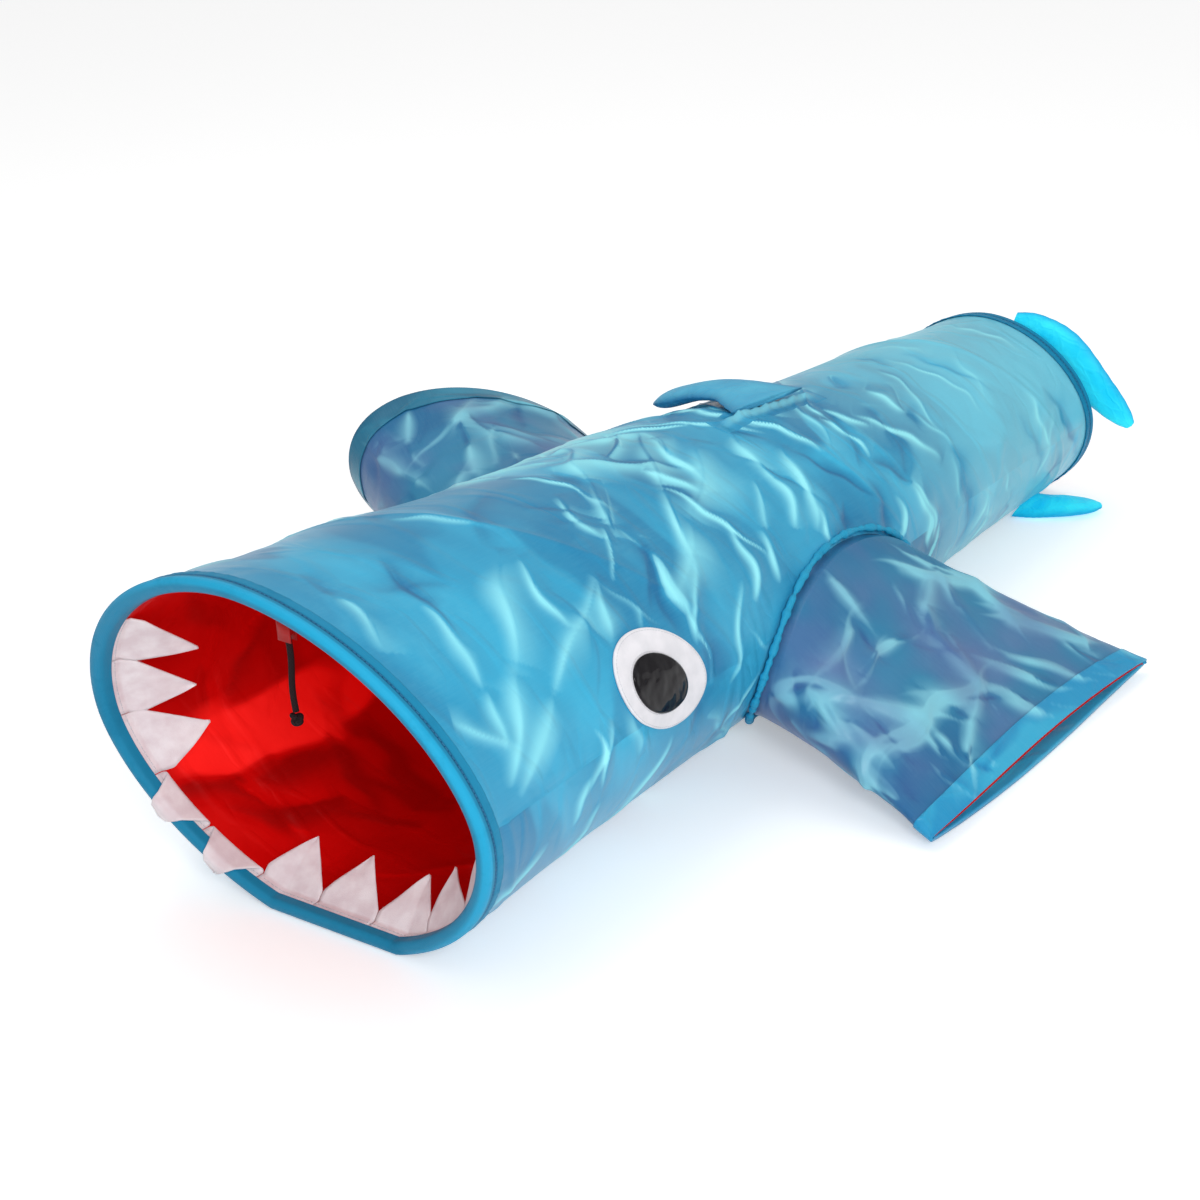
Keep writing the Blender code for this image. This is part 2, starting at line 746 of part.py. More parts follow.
def make_dorsal_tape(finish):
    """A flat tape sewn along the back, which the dorsal fin is stitched to."""
    half = TAPE_WIDTH / 2
    top = TAPE_CLEAR + TAPE_THICK
    corners = ((-half, TAPE_CLEAR), (half, TAPE_CLEAR), (half, top), (-half, top))
    ends = (DORSAL_FRONT - TAPE_BEYOND, DORSAL_BACK + TAPE_BEYOND)
    outlines = [[seam_place(along, *corner) for corner in corners] for along in ends]
    return bar_between("dorsal_fin_tape", outlines, finish)


def make_dorsal_fin(cover, stuffing, tape, carrier):
    front = seam_place(DORSAL_FRONT, up=DORSAL_STAND)
    back = seam_place(DORSAL_BACK, up=DORSAL_STAND)
    root = front.lerp(back, 0.5)
    hinge = (back - front).normalized()
    print("dorsal hinge:", [round(value, 4) for value in (*root, *hinge)])
    line = [root + Vector(step) for step in DORSAL_LINE]
    flat_axis = hinge.cross(Vector((-1.0, 0.0, 0.0)))
    pieces = make_stuffed(
        "dorsal_fin", line, flat_axis, DORSAL_CHORDS, DORSAL_THICKNESSES, (cover, stuffing),
    )
    pivot = add_empty("dorsal_fin_root", root, carrier)
    for piece in pieces:
        move_origin(piece, root, pivot)
    move_origin(make_dorsal_tape(tape), place_of(carrier), carrier)


def make_tail_lobes(cover, stuffing, carrier):
    """Two stuffed lobes on the tail's rim: one hangs over it and one lies on the floor."""
    lobes = (
        ("upper", UPPER_LOBE_LINE, (0.0, 1.0, 0.0), UPPER_LOBE_CHORDS, UPPER_LOBE_THICKNESSES),
        ("lower", LOWER_LOBE_LINE, (0.0, 0.0, 1.0), LOWER_LOBE_CHORDS, LOWER_LOBE_THICKNESSES),
    )
    for word, line, flat_axis, chords, thicknesses in lobes:
        name = f"{word}_tail_lobe"
        pieces = make_stuffed(name, line, flat_axis, chords, thicknesses, (cover, stuffing))
        pivot = add_empty(f"{name}_root", line[0], carrier)
        for piece in pieces:
            move_origin(piece, line[0], pivot)


# Eyes.
def eye_disc(name, side, share, forward, heights, finish):
    """An oval of felt bent to the wall, from one height above it to another."""
    middle_angle = EYE_ANGLE if side > 0 else math.pi - EYE_ANGLE
    _, radian = wall_across(EYE_ALONG, middle_angle)
    shape = bmesh.new()

    def spot(reach, turn, height):
        long = EYE_HALF_LONG * share * reach * math.cos(turn)
        tall = EYE_HALF_TALL * share * reach * math.sin(turn)
        along = EYE_ALONG - forward + long * math.cos(EYE_TILT) - tall * math.sin(EYE_TILT)
        up = long * math.sin(EYE_TILT) + tall * math.cos(EYE_TILT)
        return wall_point(along, middle_angle + side * up / radian, height)

    layers = []
    for height in heights:
        rows = [
            [shape.verts.new(spot(reach, math.tau * i / EYE_AROUND, height)) for i in range(EYE_AROUND)]
            for reach in EYE_RINGS
        ]
        middle = shape.verts.new(spot(0.0, 0.0, height))
        for i in range(EYE_AROUND):
            j = (i + 1) % EYE_AROUND
            shape.faces.new((middle, rows[0][i], rows[0][j]))
            for row, after in zip(rows, rows[1:]):
                shape.faces.new((row[i], after[i], after[j], row[j]))
        layers.append(rows[-1])
    for i in range(EYE_AROUND):
        j = (i + 1) % EYE_AROUND
        shape.faces.new((layers[0][i], layers[1][i], layers[1][j], layers[0][j]))
    point_outwards(shape)
    return add_mesh(name, shape, finish)


def make_eyes(white, pupil):
    for side, word in ((1, "right"), (-1, "left")):
        eye_disc(f"{word}_eye_white", side, 1.0, 0.0, EYE_WHITE_HEIGHTS, white)
        eye_disc(f"{word}_eye_pupil", side, PUPIL_SHARE, PUPIL_FORWARD, PUPIL_HEIGHTS, pupil)


# Toy cord.
def make_cord(cord, tab):
    pivot = (CORD_X, CORD_Y, CORD_PIVOT)
    points = []
    for i in range(CORD_STEPS + 1):
        share = i / CORD_STEPS
        sway = CORD_SWAY * math.sin(math.tau * share)
        points.append(Vector((CORD_X + sway, CORD_Y, mix(CORD_TOP, CORD_END, share))))
    line = round_wire("toy_cord", points, CORD_RADIUS, 2, cord)
    knot_shape = bmesh.new()
    bmesh.ops.create_uvsphere(
        knot_shape, u_segments=KNOT_SEGMENTS, v_segments=KNOT_RINGS, radius=KNOT_RADIUS,
    )
    half_tall = KNOT_RADIUS * KNOT_SQUASH
    for vertex in knot_shape.verts:
        vertex.co.z *= KNOT_SQUASH
        vertex.co += Vector((CORD_X, CORD_Y, CORD_END - half_tall - TOUCH_GAP))
    knot = add_mesh("toy_cord_knot", knot_shape, cord)
    holder = add_empty("toy_cord_pivot", pivot)
    move_origin(line, pivot, holder)
    move_origin(knot, pivot, holder)
    make_cord_tab(tab)


def make_cord_tab(finish):
    """A folded tape sewn inside the mouth binding, with the cord's end between its two layers."""
    angles = [math.radians(degree) for degree in range(50, 91)]
    inner = CORD_RADIUS + TOUCH_GAP
    outer = inner + TAB_CLOTH
    outlines = []
    for x in (CORD_X - TAB_WIDTH / 2, CORD_X + TAB_WIDTH / 2):
        angle = min(angles, key=lambda a: abs(wall_point(0.0, a, BINDING_INSIDE).x - x))
        top = wall_point(BINDING_LEG / 2, angle, BINDING_INSIDE).z - TAB_TOP_CLEAR
        profile = (
            (-outer, TAB_LOW), (-outer, top), (outer, top), (outer, TAB_LOW),
            (inner, TAB_LOW), (inner, TAB_FOLD), (-inner, TAB_FOLD), (-inner, TAB_LOW),
        )
        outlines.append([Vector((x, CORD_Y + y, z)) for y, z in profile])
    return bar_between("cord_tab", outlines, finish)


def clear_scene():
    for old in list(bpy.data.objects):
        bpy.data.objects.remove(old, do_unlink=True)


def main():
    clear_scene()
    nylon = material("blue_nylon", (0.10, 0.47, 0.70), 0.38)
    film = material("crackle_film", (0.75, 0.80, 0.84), 0.25)
    red = material("red_lining", (0.60, 0.01, 0.01), 0.45)
    steel = material("spring_steel", (0.55, 0.56, 0.58), 0.3, 1.0)
    tape = material("binding_tape", (0.02, 0.21, 0.52), 0.6)
    felt = material("white_felt", (0.86, 0.82, 0.84), 0.9)
    thin = material("sleeve_nylon", (0.06, 0.27, 0.45), 0.35)
    plush = material("cyan_cover", (0.03, 0.60, 0.88), 0.55)
    wadding = material("wadding", (0.85, 0.85, 0.85), 1.0)
    pupil = material("pupil_vinyl", (0.02, 0.02, 0.03), 0.15)
    cord = material("black_cord", (0.03, 0.02, 0.02), 0.7)

    skin = wall_layer("outer_skin", 0.0, SKIN_THICK, nylon)
    crackle = wall_layer("crinkle_film", FILM_FACE, FILM_THICK, film)
    lining = wall_layer("red_lining", LINING_FACE, LINING_THICK, red)
    cut_exits((skin, crackle, lining))

    points = wire_points()
    round_wire("coil_spring", points, WIRE_RADIUS, 1, steel)
    gap = least_gap(points, WIRE_RADIUS, POINTS_PER_TURN // 2)
    print(f"coil_spring: least gap to itself {gap * 1000:.1f} mm")

    tail_frame = add_empty("tail_frame", (0.0, LENGTH, 0.0))
    back_carrier = add_empty("back_carrier", seam_place((DORSAL_FRONT + DORSAL_BACK) / 2))
    mouth_binding, tail_binding = make_bindings(tape)
    make_hoop("mouth_hoop", -1, steel)
    make_ferrule("mouth_hoop_ferrule", -1, steel)
    tail_pieces = [
        tail_binding,
        make_hoop("tail_hoop", 1, steel),
        make_ferrule("tail_hoop_ferrule", 1, steel),
    ]
    for piece in tail_pieces:
        move_origin(piece, (0.0, LENGTH, 0.0), tail_frame)

    make_teeth(felt)
    make_sleeve(1, "right", (thin, red, tape, nylon))
    make_sleeve(-1, "left", (thin, red, tape, nylon))
    make_dorsal_fin(plush, wadding, tape, back_carrier)
    make_tail_lobes(plush, wadding, tail_frame)
    make_eyes(felt, pupil)
    make_cord(cord, tape)


main()
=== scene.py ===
"""The looks of a shark-shaped pop-up cat tunnel: cloth, felt, stuffing, wire and cord on the fixed frame.

A place on the tunnel's wall is how far along the floor it is, its angle round the section (0 at +X, a
quarter turn at the top) and how far outside the skin's smooth face it lies. Everything is in metres but
the sleeves' creases, which are in millimetres.
"""
import math
from contextlib import contextmanager

import bmesh
import bpy
import numpy as np
from mathutils import Matrix, Vector


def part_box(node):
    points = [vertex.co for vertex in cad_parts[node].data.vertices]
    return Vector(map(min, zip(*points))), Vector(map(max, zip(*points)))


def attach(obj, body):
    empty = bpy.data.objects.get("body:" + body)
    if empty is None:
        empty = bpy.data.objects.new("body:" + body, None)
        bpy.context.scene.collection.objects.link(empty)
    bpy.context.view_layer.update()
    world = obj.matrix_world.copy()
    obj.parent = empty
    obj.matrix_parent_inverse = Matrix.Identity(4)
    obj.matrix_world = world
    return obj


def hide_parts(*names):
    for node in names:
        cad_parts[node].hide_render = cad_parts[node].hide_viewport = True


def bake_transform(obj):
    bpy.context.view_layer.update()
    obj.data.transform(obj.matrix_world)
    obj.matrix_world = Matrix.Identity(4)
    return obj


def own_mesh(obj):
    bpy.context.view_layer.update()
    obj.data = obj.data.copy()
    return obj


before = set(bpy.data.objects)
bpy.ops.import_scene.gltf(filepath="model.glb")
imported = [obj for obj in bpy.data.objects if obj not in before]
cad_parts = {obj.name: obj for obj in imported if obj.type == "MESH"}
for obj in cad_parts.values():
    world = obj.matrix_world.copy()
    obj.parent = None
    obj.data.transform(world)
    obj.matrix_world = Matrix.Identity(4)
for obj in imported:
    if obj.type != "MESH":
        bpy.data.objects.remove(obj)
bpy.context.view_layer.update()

# Tunnel, as in the frame.
MOUTH_WIDTH = 0.400
MOUTH_HEIGHT = 0.334
TAIL_WIDTH = 0.228
TAIL_HEIGHT = 0.203
LENGTH = 1.098
MOUTH_LEAN = math.tan(math.radians(12.9))
TAIL_LEAN = math.tan(math.radians(9.9))
SECTION_POWER = 1.87
MOUTH_BELLY_SINK = 0.0125
TAIL_BELLY_SINK = 0.0060
BELLY_CLEAR = 0.0016
FLOOR_CLEAR = 0.0006
HALVINGS = 36

# Wall layers, as distances outside the skin's face, their squares, and the spring wire between them.
FILM_FACE = -0.0026
LINING_FACE = -0.0082
WALL_END = 0.0035
SKIN_SQUARES = (400, 540)
FILM_SQUARES = (110, 120)
LINING_SQUARES = (250, 270)
UV_RADIUS = 0.16
NORMAL_STEP = 0.02
SEWN_WITHIN = 1e-6
WIRE_CENTRE = -0.0037
WIRE_RADIUS = 0.00125
WIRE_STEPS = 30
WIRE_SIDES = 10
QUARTER_TURNS = (
    0.020, 0.045, 0.095, 0.187,
    0.325, 0.335, 0.350, 0.545,
    0.615, 0.700, 0.790, 0.870,
    0.930, 0.970,
)

# Relief between the wires: the ridge over the wire, and how far the cloth sags beside it.
RIDGE_HEIGHT = 0.0010
RIDGE_WIDTH = 0.0045
SAG = 0.013
SAG_MOST = 0.006
SAG_BELOW = 0.45
SAG_GROWTH = 0.75
RIM_CALM = 0.02

# Panels of the wall, as shares of its length.
PANEL_SHARES = (0.0, 0.10, 0.30, 0.72, 0.90, 1.0)
PANEL_LEAN = math.tan(math.radians(11.4))

# Creases of the skin: (along, degrees) at each end, width and height.
FRONT_CREASES = (
    ((0.212, 67), (0.119, 33), 0.010, 0.0052),
    ((0.125, 36), (0.046, 9), 0.012, 0.0050),
    ((0.268, 46), (0.140, 25), 0.008, 0.0044),
    ((0.145, 26), (0.049, 4), 0.010, 0.0040),
    ((0.268, 46), (0.222, 27), 0.009, 0.0040),
    ((0.224, 29), (0.202, -11), 0.010, 0.0034),
    ((0.215, 62), (0.194, 36), 0.006, 0.0034),
    ((0.098, 60), (0.080, 34), 0.007, 0.0032),
    ((0.050, 74), (0.030, 50), 0.008, 0.0026),
    ((0.020, 30), (0.066, 16), 0.008, 0.0030),
    ((0.086, 34), (0.050, 18), 0.007, 0.0024),
    ((0.283, 35), (0.226, 9), 0.006, 0.0026),
)
MIDDLE_CREASES = (
    ((0.457, 115), (0.375, 76), 0.008, 0.0046),
    ((0.380, 78), (0.322, 54), 0.007, 0.0044),
    ((0.506, 95), (0.425, 61), 0.008, 0.0050),
    ((0.430, 63), (0.374, 39), 0.006, 0.0042),
    ((0.535, 76), (0.420, 48), 0.013, 0.0062),
    ((0.426, 49), (0.323, 29), 0.011, 0.0054),
    ((0.330, 78), (0.306, 55), 0.006, 0.0036),
    ((0.570, 74), (0.552, 50), 0.009, 0.0046),
    ((0.555, 54), (0.530, 31), 0.007, 0.0046),
    ((0.454, 40), (0.418, 16), 0.006, 0.0040),
    ((0.605, 60), (0.550, 26), 0.008, 0.0050),
)
STRAY_CREASES = (
    # count, (along from, to), (length from, to), (height from, to), chance of the main slant
    (30, (0.03, 0.29), (0.05, 0.14), (0.0008, 0.0024), 0.65),
    (170, (0.30, 0.72), (0.05, 0.13), (0.0014, 0.0042), 0.74),
    (50, (0.68, 0.82), (0.04, 0.11), (0.0010, 0.0028), 0.70),
    (44, (0.80, 1.06), (0.05, 0.13), (0.0004, 0.0012), 0.60),
)
STRAY_SLANT = math.radians(24)
STRAY_SPREAD = math.radians(17)
STRAY_WIDTHS = (0.0030, 0.0075)
VALLEY_CHANCE = 0.42
VALLEY_DEPTH = 0.6
MIRROR_SHIFTS = (0.018, 0.010)
MIRROR_DEGREES = (182, 176)
MIRROR_HEIGHT = 0.8
CREASE_MOST = 0.0075
STEEP_SIDE = 0.60
GENTLE_SIDE = 1.6
CREST_ROUND = 0.3
SKIN_SEED = 11
LINING_SEED = 23
LINING_DEPTH = -0.7
LINING_CREASES = (
    ((0.013, -151), (0.074, -144), 0.006, 0.0040),
    ((0.074, -144), (0.185, -142), 0.007, 0.0044),
    ((0.056, -134), (0.135, -126), 0.006, 0.0042),
    ((0.060, -165), (0.110, -146), 0.008, 0.0040),
    ((0.230, -160), (0.180, -143), 0.010, 0.0040),
)

# Waves that keep a line from running straight: (height, turns a radian, turns a metre).
CROOKED_ALONG = ((0.0045, 9, 31), (0.0022, 23, -57))
CROOKED_ANGLE = ((0.018, 5, 43), (0.010, -11, 97))
PATCH_EDGE = ((0.006, 11, 40), (0.003, 29, 0))

# Painted light and shade of the cloth, kept as the tone that its material reads: how it grows with height,
# slope towards the light and place.
TONE_STEP = 0.0022
TONE_GAIN = 3.0
TONE_HEIGHT = 0.009
TONE_DEPTH = 0.0016
TONE_REST = 0.06
LIGHT_FROM = (0.69, -0.58, 0.44)
FACET_SHADE = 0.75
# Painted light: the skin is painted lighter towards the rear.
REAR_LIGHT = 0.22
REAR_FROM = 0.52
REAR_OVER = 0.45
# Painted light on the lining: the patch that light through the mouth makes, a painted glow near the mouth,
# and painted shade opposite.
PATCH_LIGHT = 0.70
PATCH_ALONG = 0.135
PATCH_ANGLE = math.radians(-156)
PATCH_LONG = 0.105
PATCH_WIDE = 0.036
PATCH_CORE = 0.75
PATCH_FADE = 0.45
GLOW_LIGHT = 0.16
GLOW_ALONG = 0.05
GLOW_ANGLE = -2.45
GLOW_LONG = 0.07
GLOW_WIDE = 0.55
LINING_SHADE = 0.22
LINING_SHADE_ANGLE = -0.5

# Bindings and teeth, as in the frame.
BINDING_LEG = 0.010
BINDING_CLOTH = 0.0012
BINDING_OUTSIDE = 0.0016
BINDING_INSIDE = -0.0118
BINDING_FRONT = 0.0112
BINDING_BEND = -0.0052
BINDING_PUCKERS = 96
PUCKER_HEIGHT = 0.00035
PUCKER_BEATS = 37
PUCKER_FROM = -0.004
PUCKER_OVER = 0.012
INNER_LEG = 0.0015
INNER_LEG_SHARES = (0.3, 0.6, 0.9, 1.0)
OUTER_LEG_SHARES = (0.14, 0.26, 0.33, 0.37, 0.40, 0.43, 0.47, 0.54, 0.68, 0.82, 0.95, 1.0)
BINDING_ROUND = 360
BINDING_TURNS = 15
BINDING_UV = 0.0012
SEAM_AT = 0.0010
SEAM_DEPTH = 0.0008
SEAM_WIDTH = 0.0013
LIP_LIGHT = 0.6
LIP_STEEPNESS = 2.2
LIP_SPREAD = 0.8
LIP_ANGLE = 0.6
BINDING_TONE = 0.45
SEAM_SHADE = 0.55
TOOTH_COUNT = 13
TOOTH_FIRST = math.radians(140)
TOOTH_LAST = math.radians(400)
TOOTH_GAP = 0.0008
TOOTH_REACH = 0.056
TOOTH_THICK = 0.0010
TOOTH_FACE = -0.0092
TOOTH_LEAN = math.radians(36)
TOOTH_TUCK = 0.0010
TOOTH_BOW = 0.0015
TOOTH_TIP = 0.03
TOOTH_STRIP = 0.17
TOOTH_SQUARES = (16, 34)
TOOTH_STEPS = 12
TOOTH_RIPPLE = 0.0012
TOOTH_ROW_AT = 0.006
TOOTH_ROW_POINTS = 500
HALF_SPAN = 0.06
RIM_SAMPLES = 1200
TURNED_OUT = (4, 5)
TURNED_FACE = BINDING_INSIDE - 0.0022
TURNED_PATH = (
    (BINDING_LEG + 0.0030, (TOOTH_FACE + TURNED_FACE) / 2, 0.93),
    (BINDING_LEG + 0.0010, TURNED_FACE, 0.86),
    (-BINDING_FRONT + 0.0040, TURNED_FACE, 0.52),
    (-BINDING_FRONT - 0.0030, TURNED_FACE + 0.0040, 0.42),
    (-BINDING_FRONT - 0.0040, TURNED_FACE + 0.0110, 0.30),
    (-BINDING_FRONT + 0.0040, BINDING_OUTSIDE + 0.0120, TOOTH_TIP),
)

# Exits and side sleeves, as in the frame.
EXIT_Y = 0.508
EXIT_HEIGHT = 0.098
EXIT_HALF_LONG = 0.135
EXIT_HALF_TALL = 0.074
EXIT_SNAP = 0.024
EXIT_CALM = 0.22
SLEEVE_SQUARES = (380, 190)
SLEEVE_LINING_INSET = 0.0026
SLEEVE_COLLAR = 0.012
COLLAR_SHARE = 0.07
HEM_SHARE = 0.905
HEM_OUT = 0.0012
HEM_IN = 0.0036
FLAT_END = (0.345, 0.548, 0.0112)
FLAT_HALF_LONG = 0.197
FLAT_HALF_TALL = 0.0092
FLAT_CORNER_ROOM = 2.8
FLAT_SQUARENESS = 0.7
FLAT_WAVE = 0.002
PUFFED_END = (-0.341, 0.6215, 0.1100)
PUFFED_HALF_LONG = 0.167
PUFFED_HALF_TALL = 0.087
PUFFED_SWEEP = math.radians(20)
PUFFED_DROOP = math.radians(27)

# Piping round the sleeves' roots, their cloth and the edges of the exits.
PIPING_RADIUS = 0.0040
PIPING_OUT = 0.0050
PIPING_POINTS = 420
PIPING_SIDES = 14
PIPING_SUNK = 0.0008
PIPING_DRAWN = 0.74
PIPING_GATHERS = ((0.20, 47, 5), (0.22, 19), (0.10, 83))
EXIT_GROWN = 1.012
EXIT_SIDE = 0.3
WALL_BESIDE = 0.05
SLEEVE_LINING_SQUARES = (240, 120)
HEM_SQUARES = (250, 30)
HEM_TURN = 0.46
HEM_CLOTH = 0.0005
SLEEVE_ROUND = 0.72
SLEEVE_REACH = 0.22
SLEEVE_STEP = 0.01
SLEEVE_INWARDS = 0.004
SLEEVE_UNDER = -0.0006
COLLAR_STAND = 0.0009
ROOT_EASE = 0.10
END_BEYOND = 1.06
END_EASE = 0.16

# Creases of the two sleeves, in millimetres: width, height and a line of places.
NEAR_SLEEVE_CREASES = (
    (7, 6.5, (202, 590, 129), (225, 546, 118), (244, 527, 104), (288, 520, 67)),
    (8, 7.5, (183, 373, 98), (247, 400, 93), (282, 439, 72), (286, 520, 69)),
    (5, 4.5, (278, 361, 42), (277, 379, 64), (282, 434, 72)),
    (5, 4.5, (278, 361, 42), (289, 394, 61), (287, 438, 67)),
    (6, 6.0, (192, 560, 141), (224, 639, 102), (264, 628, 80), (304, 692, 44)),
    (5, 4.5, (279, 549, 73), (322, 610, 37)),
    (6, 4.0, (177, 468, 160), (203, 466, 138)),
    (5, 4.0, (238, 424, 106), (234, 453, 112), (237, 499, 110)),
    (6, 4.0, (213, 402, 119), (208, 446, 133)),
    (6, 5.0, (287, 518, 68), (324, 446, 37)),
    (6, 4.5, (295, 529, 61), (330, 566, 26)),
)
FAR_SLEEVE_CREASES = (
    (7, 4.0, (-353, 473, 185), (-283, 451, 172)),
    (9, 4.0, (-300, 500, 203), (-312, 618, 194), (-296, 710, 144)),
    (6, 4.5, (-329, 592, 205), (-291, 538, 197), (-241, 489, 181)),
)
MILLIMETRES = 1000
SLEEVE_STRAYS = 75
SLEEVE_STRAY_SHARES = (0.12, 0.95)
SLEEVE_STRAY_TURNS = (0.15, 0.5)
SLEEVE_STRAY_LENGTHS = (0.08, 0.28)
SLEEVE_STRAY_HEIGHTS = (0.0012, 0.0034)
SLEEVE_STRAY_WIDTHS = (0.0034, 0.0070)
SLEEVE_SWAYS = ((0.0035, 71), (0.0010, 140))
SLEEVE_LEAN = 0.006
SLEEVE_MOST = 0.0085
INNER_RELIEF = 0.75
NEAR_SEED = 31
FAR_SEED = 47

# Stuffed fins, as in the frame.
DORSAL_FRONT = 0.592
DORSAL_BACK = 0.712
DORSAL_ANGLE = math.radians(79)
DORSAL_STAND = 0.0078
DORSAL_LINE = (
    (0.0, 0.0, 0.0), (-0.034, 0.0, 0.0030), (-0.063, -0.006, 0.0010), (-0.091, -0.011, -0.0078),
    (-0.112, -0.014, -0.0160),
)
DORSAL_CHORDS = (0.118, 0.082, 0.064, 0.058, 0.044)
DORSAL_THICKNESSES = (0.006, 0.011, 0.015, 0.017, 0.013)
UPPER_LOBE_LINE = (
    (0.024, 1.0815, 0.1985), (0.048, 1.0870, 0.1900), (0.078, 1.0940, 0.1680),
    (0.114, 1.1020, 0.1250), (0.146, 1.1090, 0.0920),
)
UPPER_LOBE_CHORDS = (0.016, 0.034, 0.047, 0.041, 0.026)
UPPER_LOBE_THICKNESSES = (0.0100, 0.0125, 0.0140, 0.0130, 0.0090)
LOWER_LOBE_LINE = (
    (0.056, 1.044, 0.0044), (0.076, 1.047, 0.0055), (0.102, 1.056, 0.0078), (0.130, 1.074, 0.0072),
)
LOWER_LOBE_CHORDS = (0.072, 0.066, 0.053, 0.032)
LOWER_LOBE_THICKNESSES = (0.0060, 0.0090, 0.0128, 0.0094)
LOWER_LOBE_ANCHOR = (0.056, 1.083, 0.0046)

# Shape of a stuffed cover: its wadding, tip, puckered edge and swells.
WADDING_SHARE = 0.82
WADDING_START = 0.12
FIN_TIP = 0.45
FIN_END = 0.94
FIN_STEP = 0.02
TIP_START = 0.80
TIP_NARROWING = 0.68
FIN_SQUARES = (96, 72)
FIN_PUCKERS = 26
PUCKER_SHARE = 0.010
FIN_SWELL = 0.05
FIN_SWELLS = 11
FIN_EDGE_POWER = 6
FIN_EDGE = 0.72
FIN_EDGE_SHADE = 0.85
FIN_PLUMP = 0.98
FIN_FLOOR = 0.0002
FIN_UV = 0.12

# Seam ridge on the back, which the dorsal fin is sewn to.
SEAM_HALF = 0.014
SEAM_BEYOND = 0.022
SEAM_SQUARES = (40, 170)
SEAM_CLOTH = 0.0003
BACK_RIDGE_HALF = 0.0032
BACK_RIDGE_LOWER = 0.0024
BACK_RIDGE_LIGHT = 0.22
BACK_RIDGE_LIGHT_AT = 0.002
BACK_RIDGE_LIGHT_HALF = 0.0035
SEAM_EDGE = 0.0005
SEAM_SINK = 0.0002
PLEAT_HEIGHT = 0.0006
PLEAT_HALF = 0.006
PLEATS = 420

# Eyes, as in the frame.
EYE_ALONG = 0.256
EYE_ANGLE = math.radians(10)
EYE_HALF_LONG = 0.057
EYE_HALF_TALL = 0.047
EYE_TILT = math.radians(-28)
EYE_SQUARES = (128, 30)
EYE_CALM_FROM = 0.9
EYE_CALM_OVER = 0.5
EYE_EDGE = 0.93
EYE_ROUNDING = 0.0006
PUPIL_SHARE = 0.585
PUPIL_FORWARD = 0.006
PUPIL_DOME = 0.0008
EYE_WHITE_HEIGHTS = (0.0004, 0.0024)
PUPIL_HEIGHTS = (0.0026, 0.0046)
EYE_STITCHES = 400
WHITE_RING = 0.955
PUPIL_RING = 1.05

# Toy cord, as in the frame.
CORD_RADIUS = 0.0025
CORD_X = 0.045
CORD_Y = -0.066
CORD_TOP = 0.300
CORD_END = 0.236
CORD_SWAY = 0.0012
CORD_POINTS = 28
CORD_SIDES = 20
KNOT_RADIUS = 0.0070
KNOT_MIDDLE = 0.2297
KNOT_CORD = CORD_RADIUS * 0.9
KNOT_POINTS = 90
KNOT_SIDES = 16
KNOT_FLATNESS = 0.80
KNOT_DEPTH = 1.05
TAB_WIDTH = 0.013
TAB_CLOTH = 0.0008
TAB_GAP = 0.0004
TAB_LOW = 0.2945
TAB_BEND = 0.3005
TAB_TURNS = 9
TAB_BEND_TALL = 0.0015
TAB_SLOPE = -0.30
TAB_UV = 0.05

# Stitches, as pitch and thread radius.
TAPE_STITCHES = (0.0042, 0.00045)
TOOTH_STITCHES = (0.004, 0.0004)
FELT_STITCHES = (0.0034, 0.0003)
STITCH_SHARES = (0.14, 0.86)
STITCH_TAPER = 0.8
STITCH_LIFT = 0.0002

# Finishes: threads of their weave a metre, sheen, and the slant of the cord's strands.
NYLON_THREADS = 520.0
TAPE_THREADS = 340.0
CLOTH_SHEEN = 0.25
BRAID_SLANT = math.radians(38)

# Camera at the photograph's viewing angle.
CAMERA_TARGET = Vector((-0.064, 0.4465, 0.10))
CAMERA_AZIMUTH = math.radians(38.1)
CAMERA_ELEVATION = math.radians(24.2)
CAMERA_ROLL = math.radians(-3.5)
CAMERA_DISTANCE = 2.432
CAMERA_LENS = 78.6
SENSOR_WIDTH = 36.0

# Lights as name, place, size and power, and the floor.
LIGHTS = (("key", (2.1, -1.5, 1.6), 0.8, 40), ("top", (-0.6, 0.6, 2.4), 1.6, 12))
LIGHT_TARGET = (0.0, 0.4, 0.1)
WORLD_LIGHT = 0.55
WHITE = (1.0, 1.0, 1.0, 1.0)
FLOOR_GLOW = 0.38
FLOOR_SIZE = 9.0
FLOOR_SQUARES = (8, 8)
FLOOR_DROP = 0.0004


def mix(first, last, share):
    return first + (last - first) * share


def smooth_step(value):
    value = np.clip(value, 0.0, 1.0)
    return value * value * (3 - 2 * value)


def wrapped(angle):
    return (angle + math.pi) % math.tau - math.pi


def unit(vectors):
    return vectors / np.linalg.norm(vectors, axis=-1, keepdims=True)


def run_lengths(points):
    """How far along a line of points each of them lies."""
    return np.concatenate(([0.0], np.cumsum(np.linalg.norm(np.diff(points, axis=0), axis=1))))


def waves(along, angle, table):
    """The sum of a table's waves at places on the wall."""
    return sum(height * np.sin(angle * turns + along * metres) for height, turns, metres in table)


# The tunnel's wall.
def lean_at(along):
    return mix(MOUTH_LEAN, TAIL_LEAN, along / LENGTH)


def section(along, angle):
    """The skin's face at one station: a flattened oval that stands on its belly."""
    share = along / LENGTH
    half = mix(MOUTH_WIDTH, TAIL_WIDTH, share) / 2
    sink = mix(MOUTH_BELLY_SINK, TAIL_BELLY_SINK, share)
    tall = (mix(MOUTH_HEIGHT, TAIL_HEIGHT, share) + sink) / 2
    power = 2 / SECTION_POWER
    across = np.sign(np.cos(angle)) * np.abs(np.cos(angle)) ** power
    up = np.sign(np.sin(angle)) * np.abs(np.sin(angle)) ** power
    return half * across, np.maximum(tall * (1 + up) - sink, 0.0)


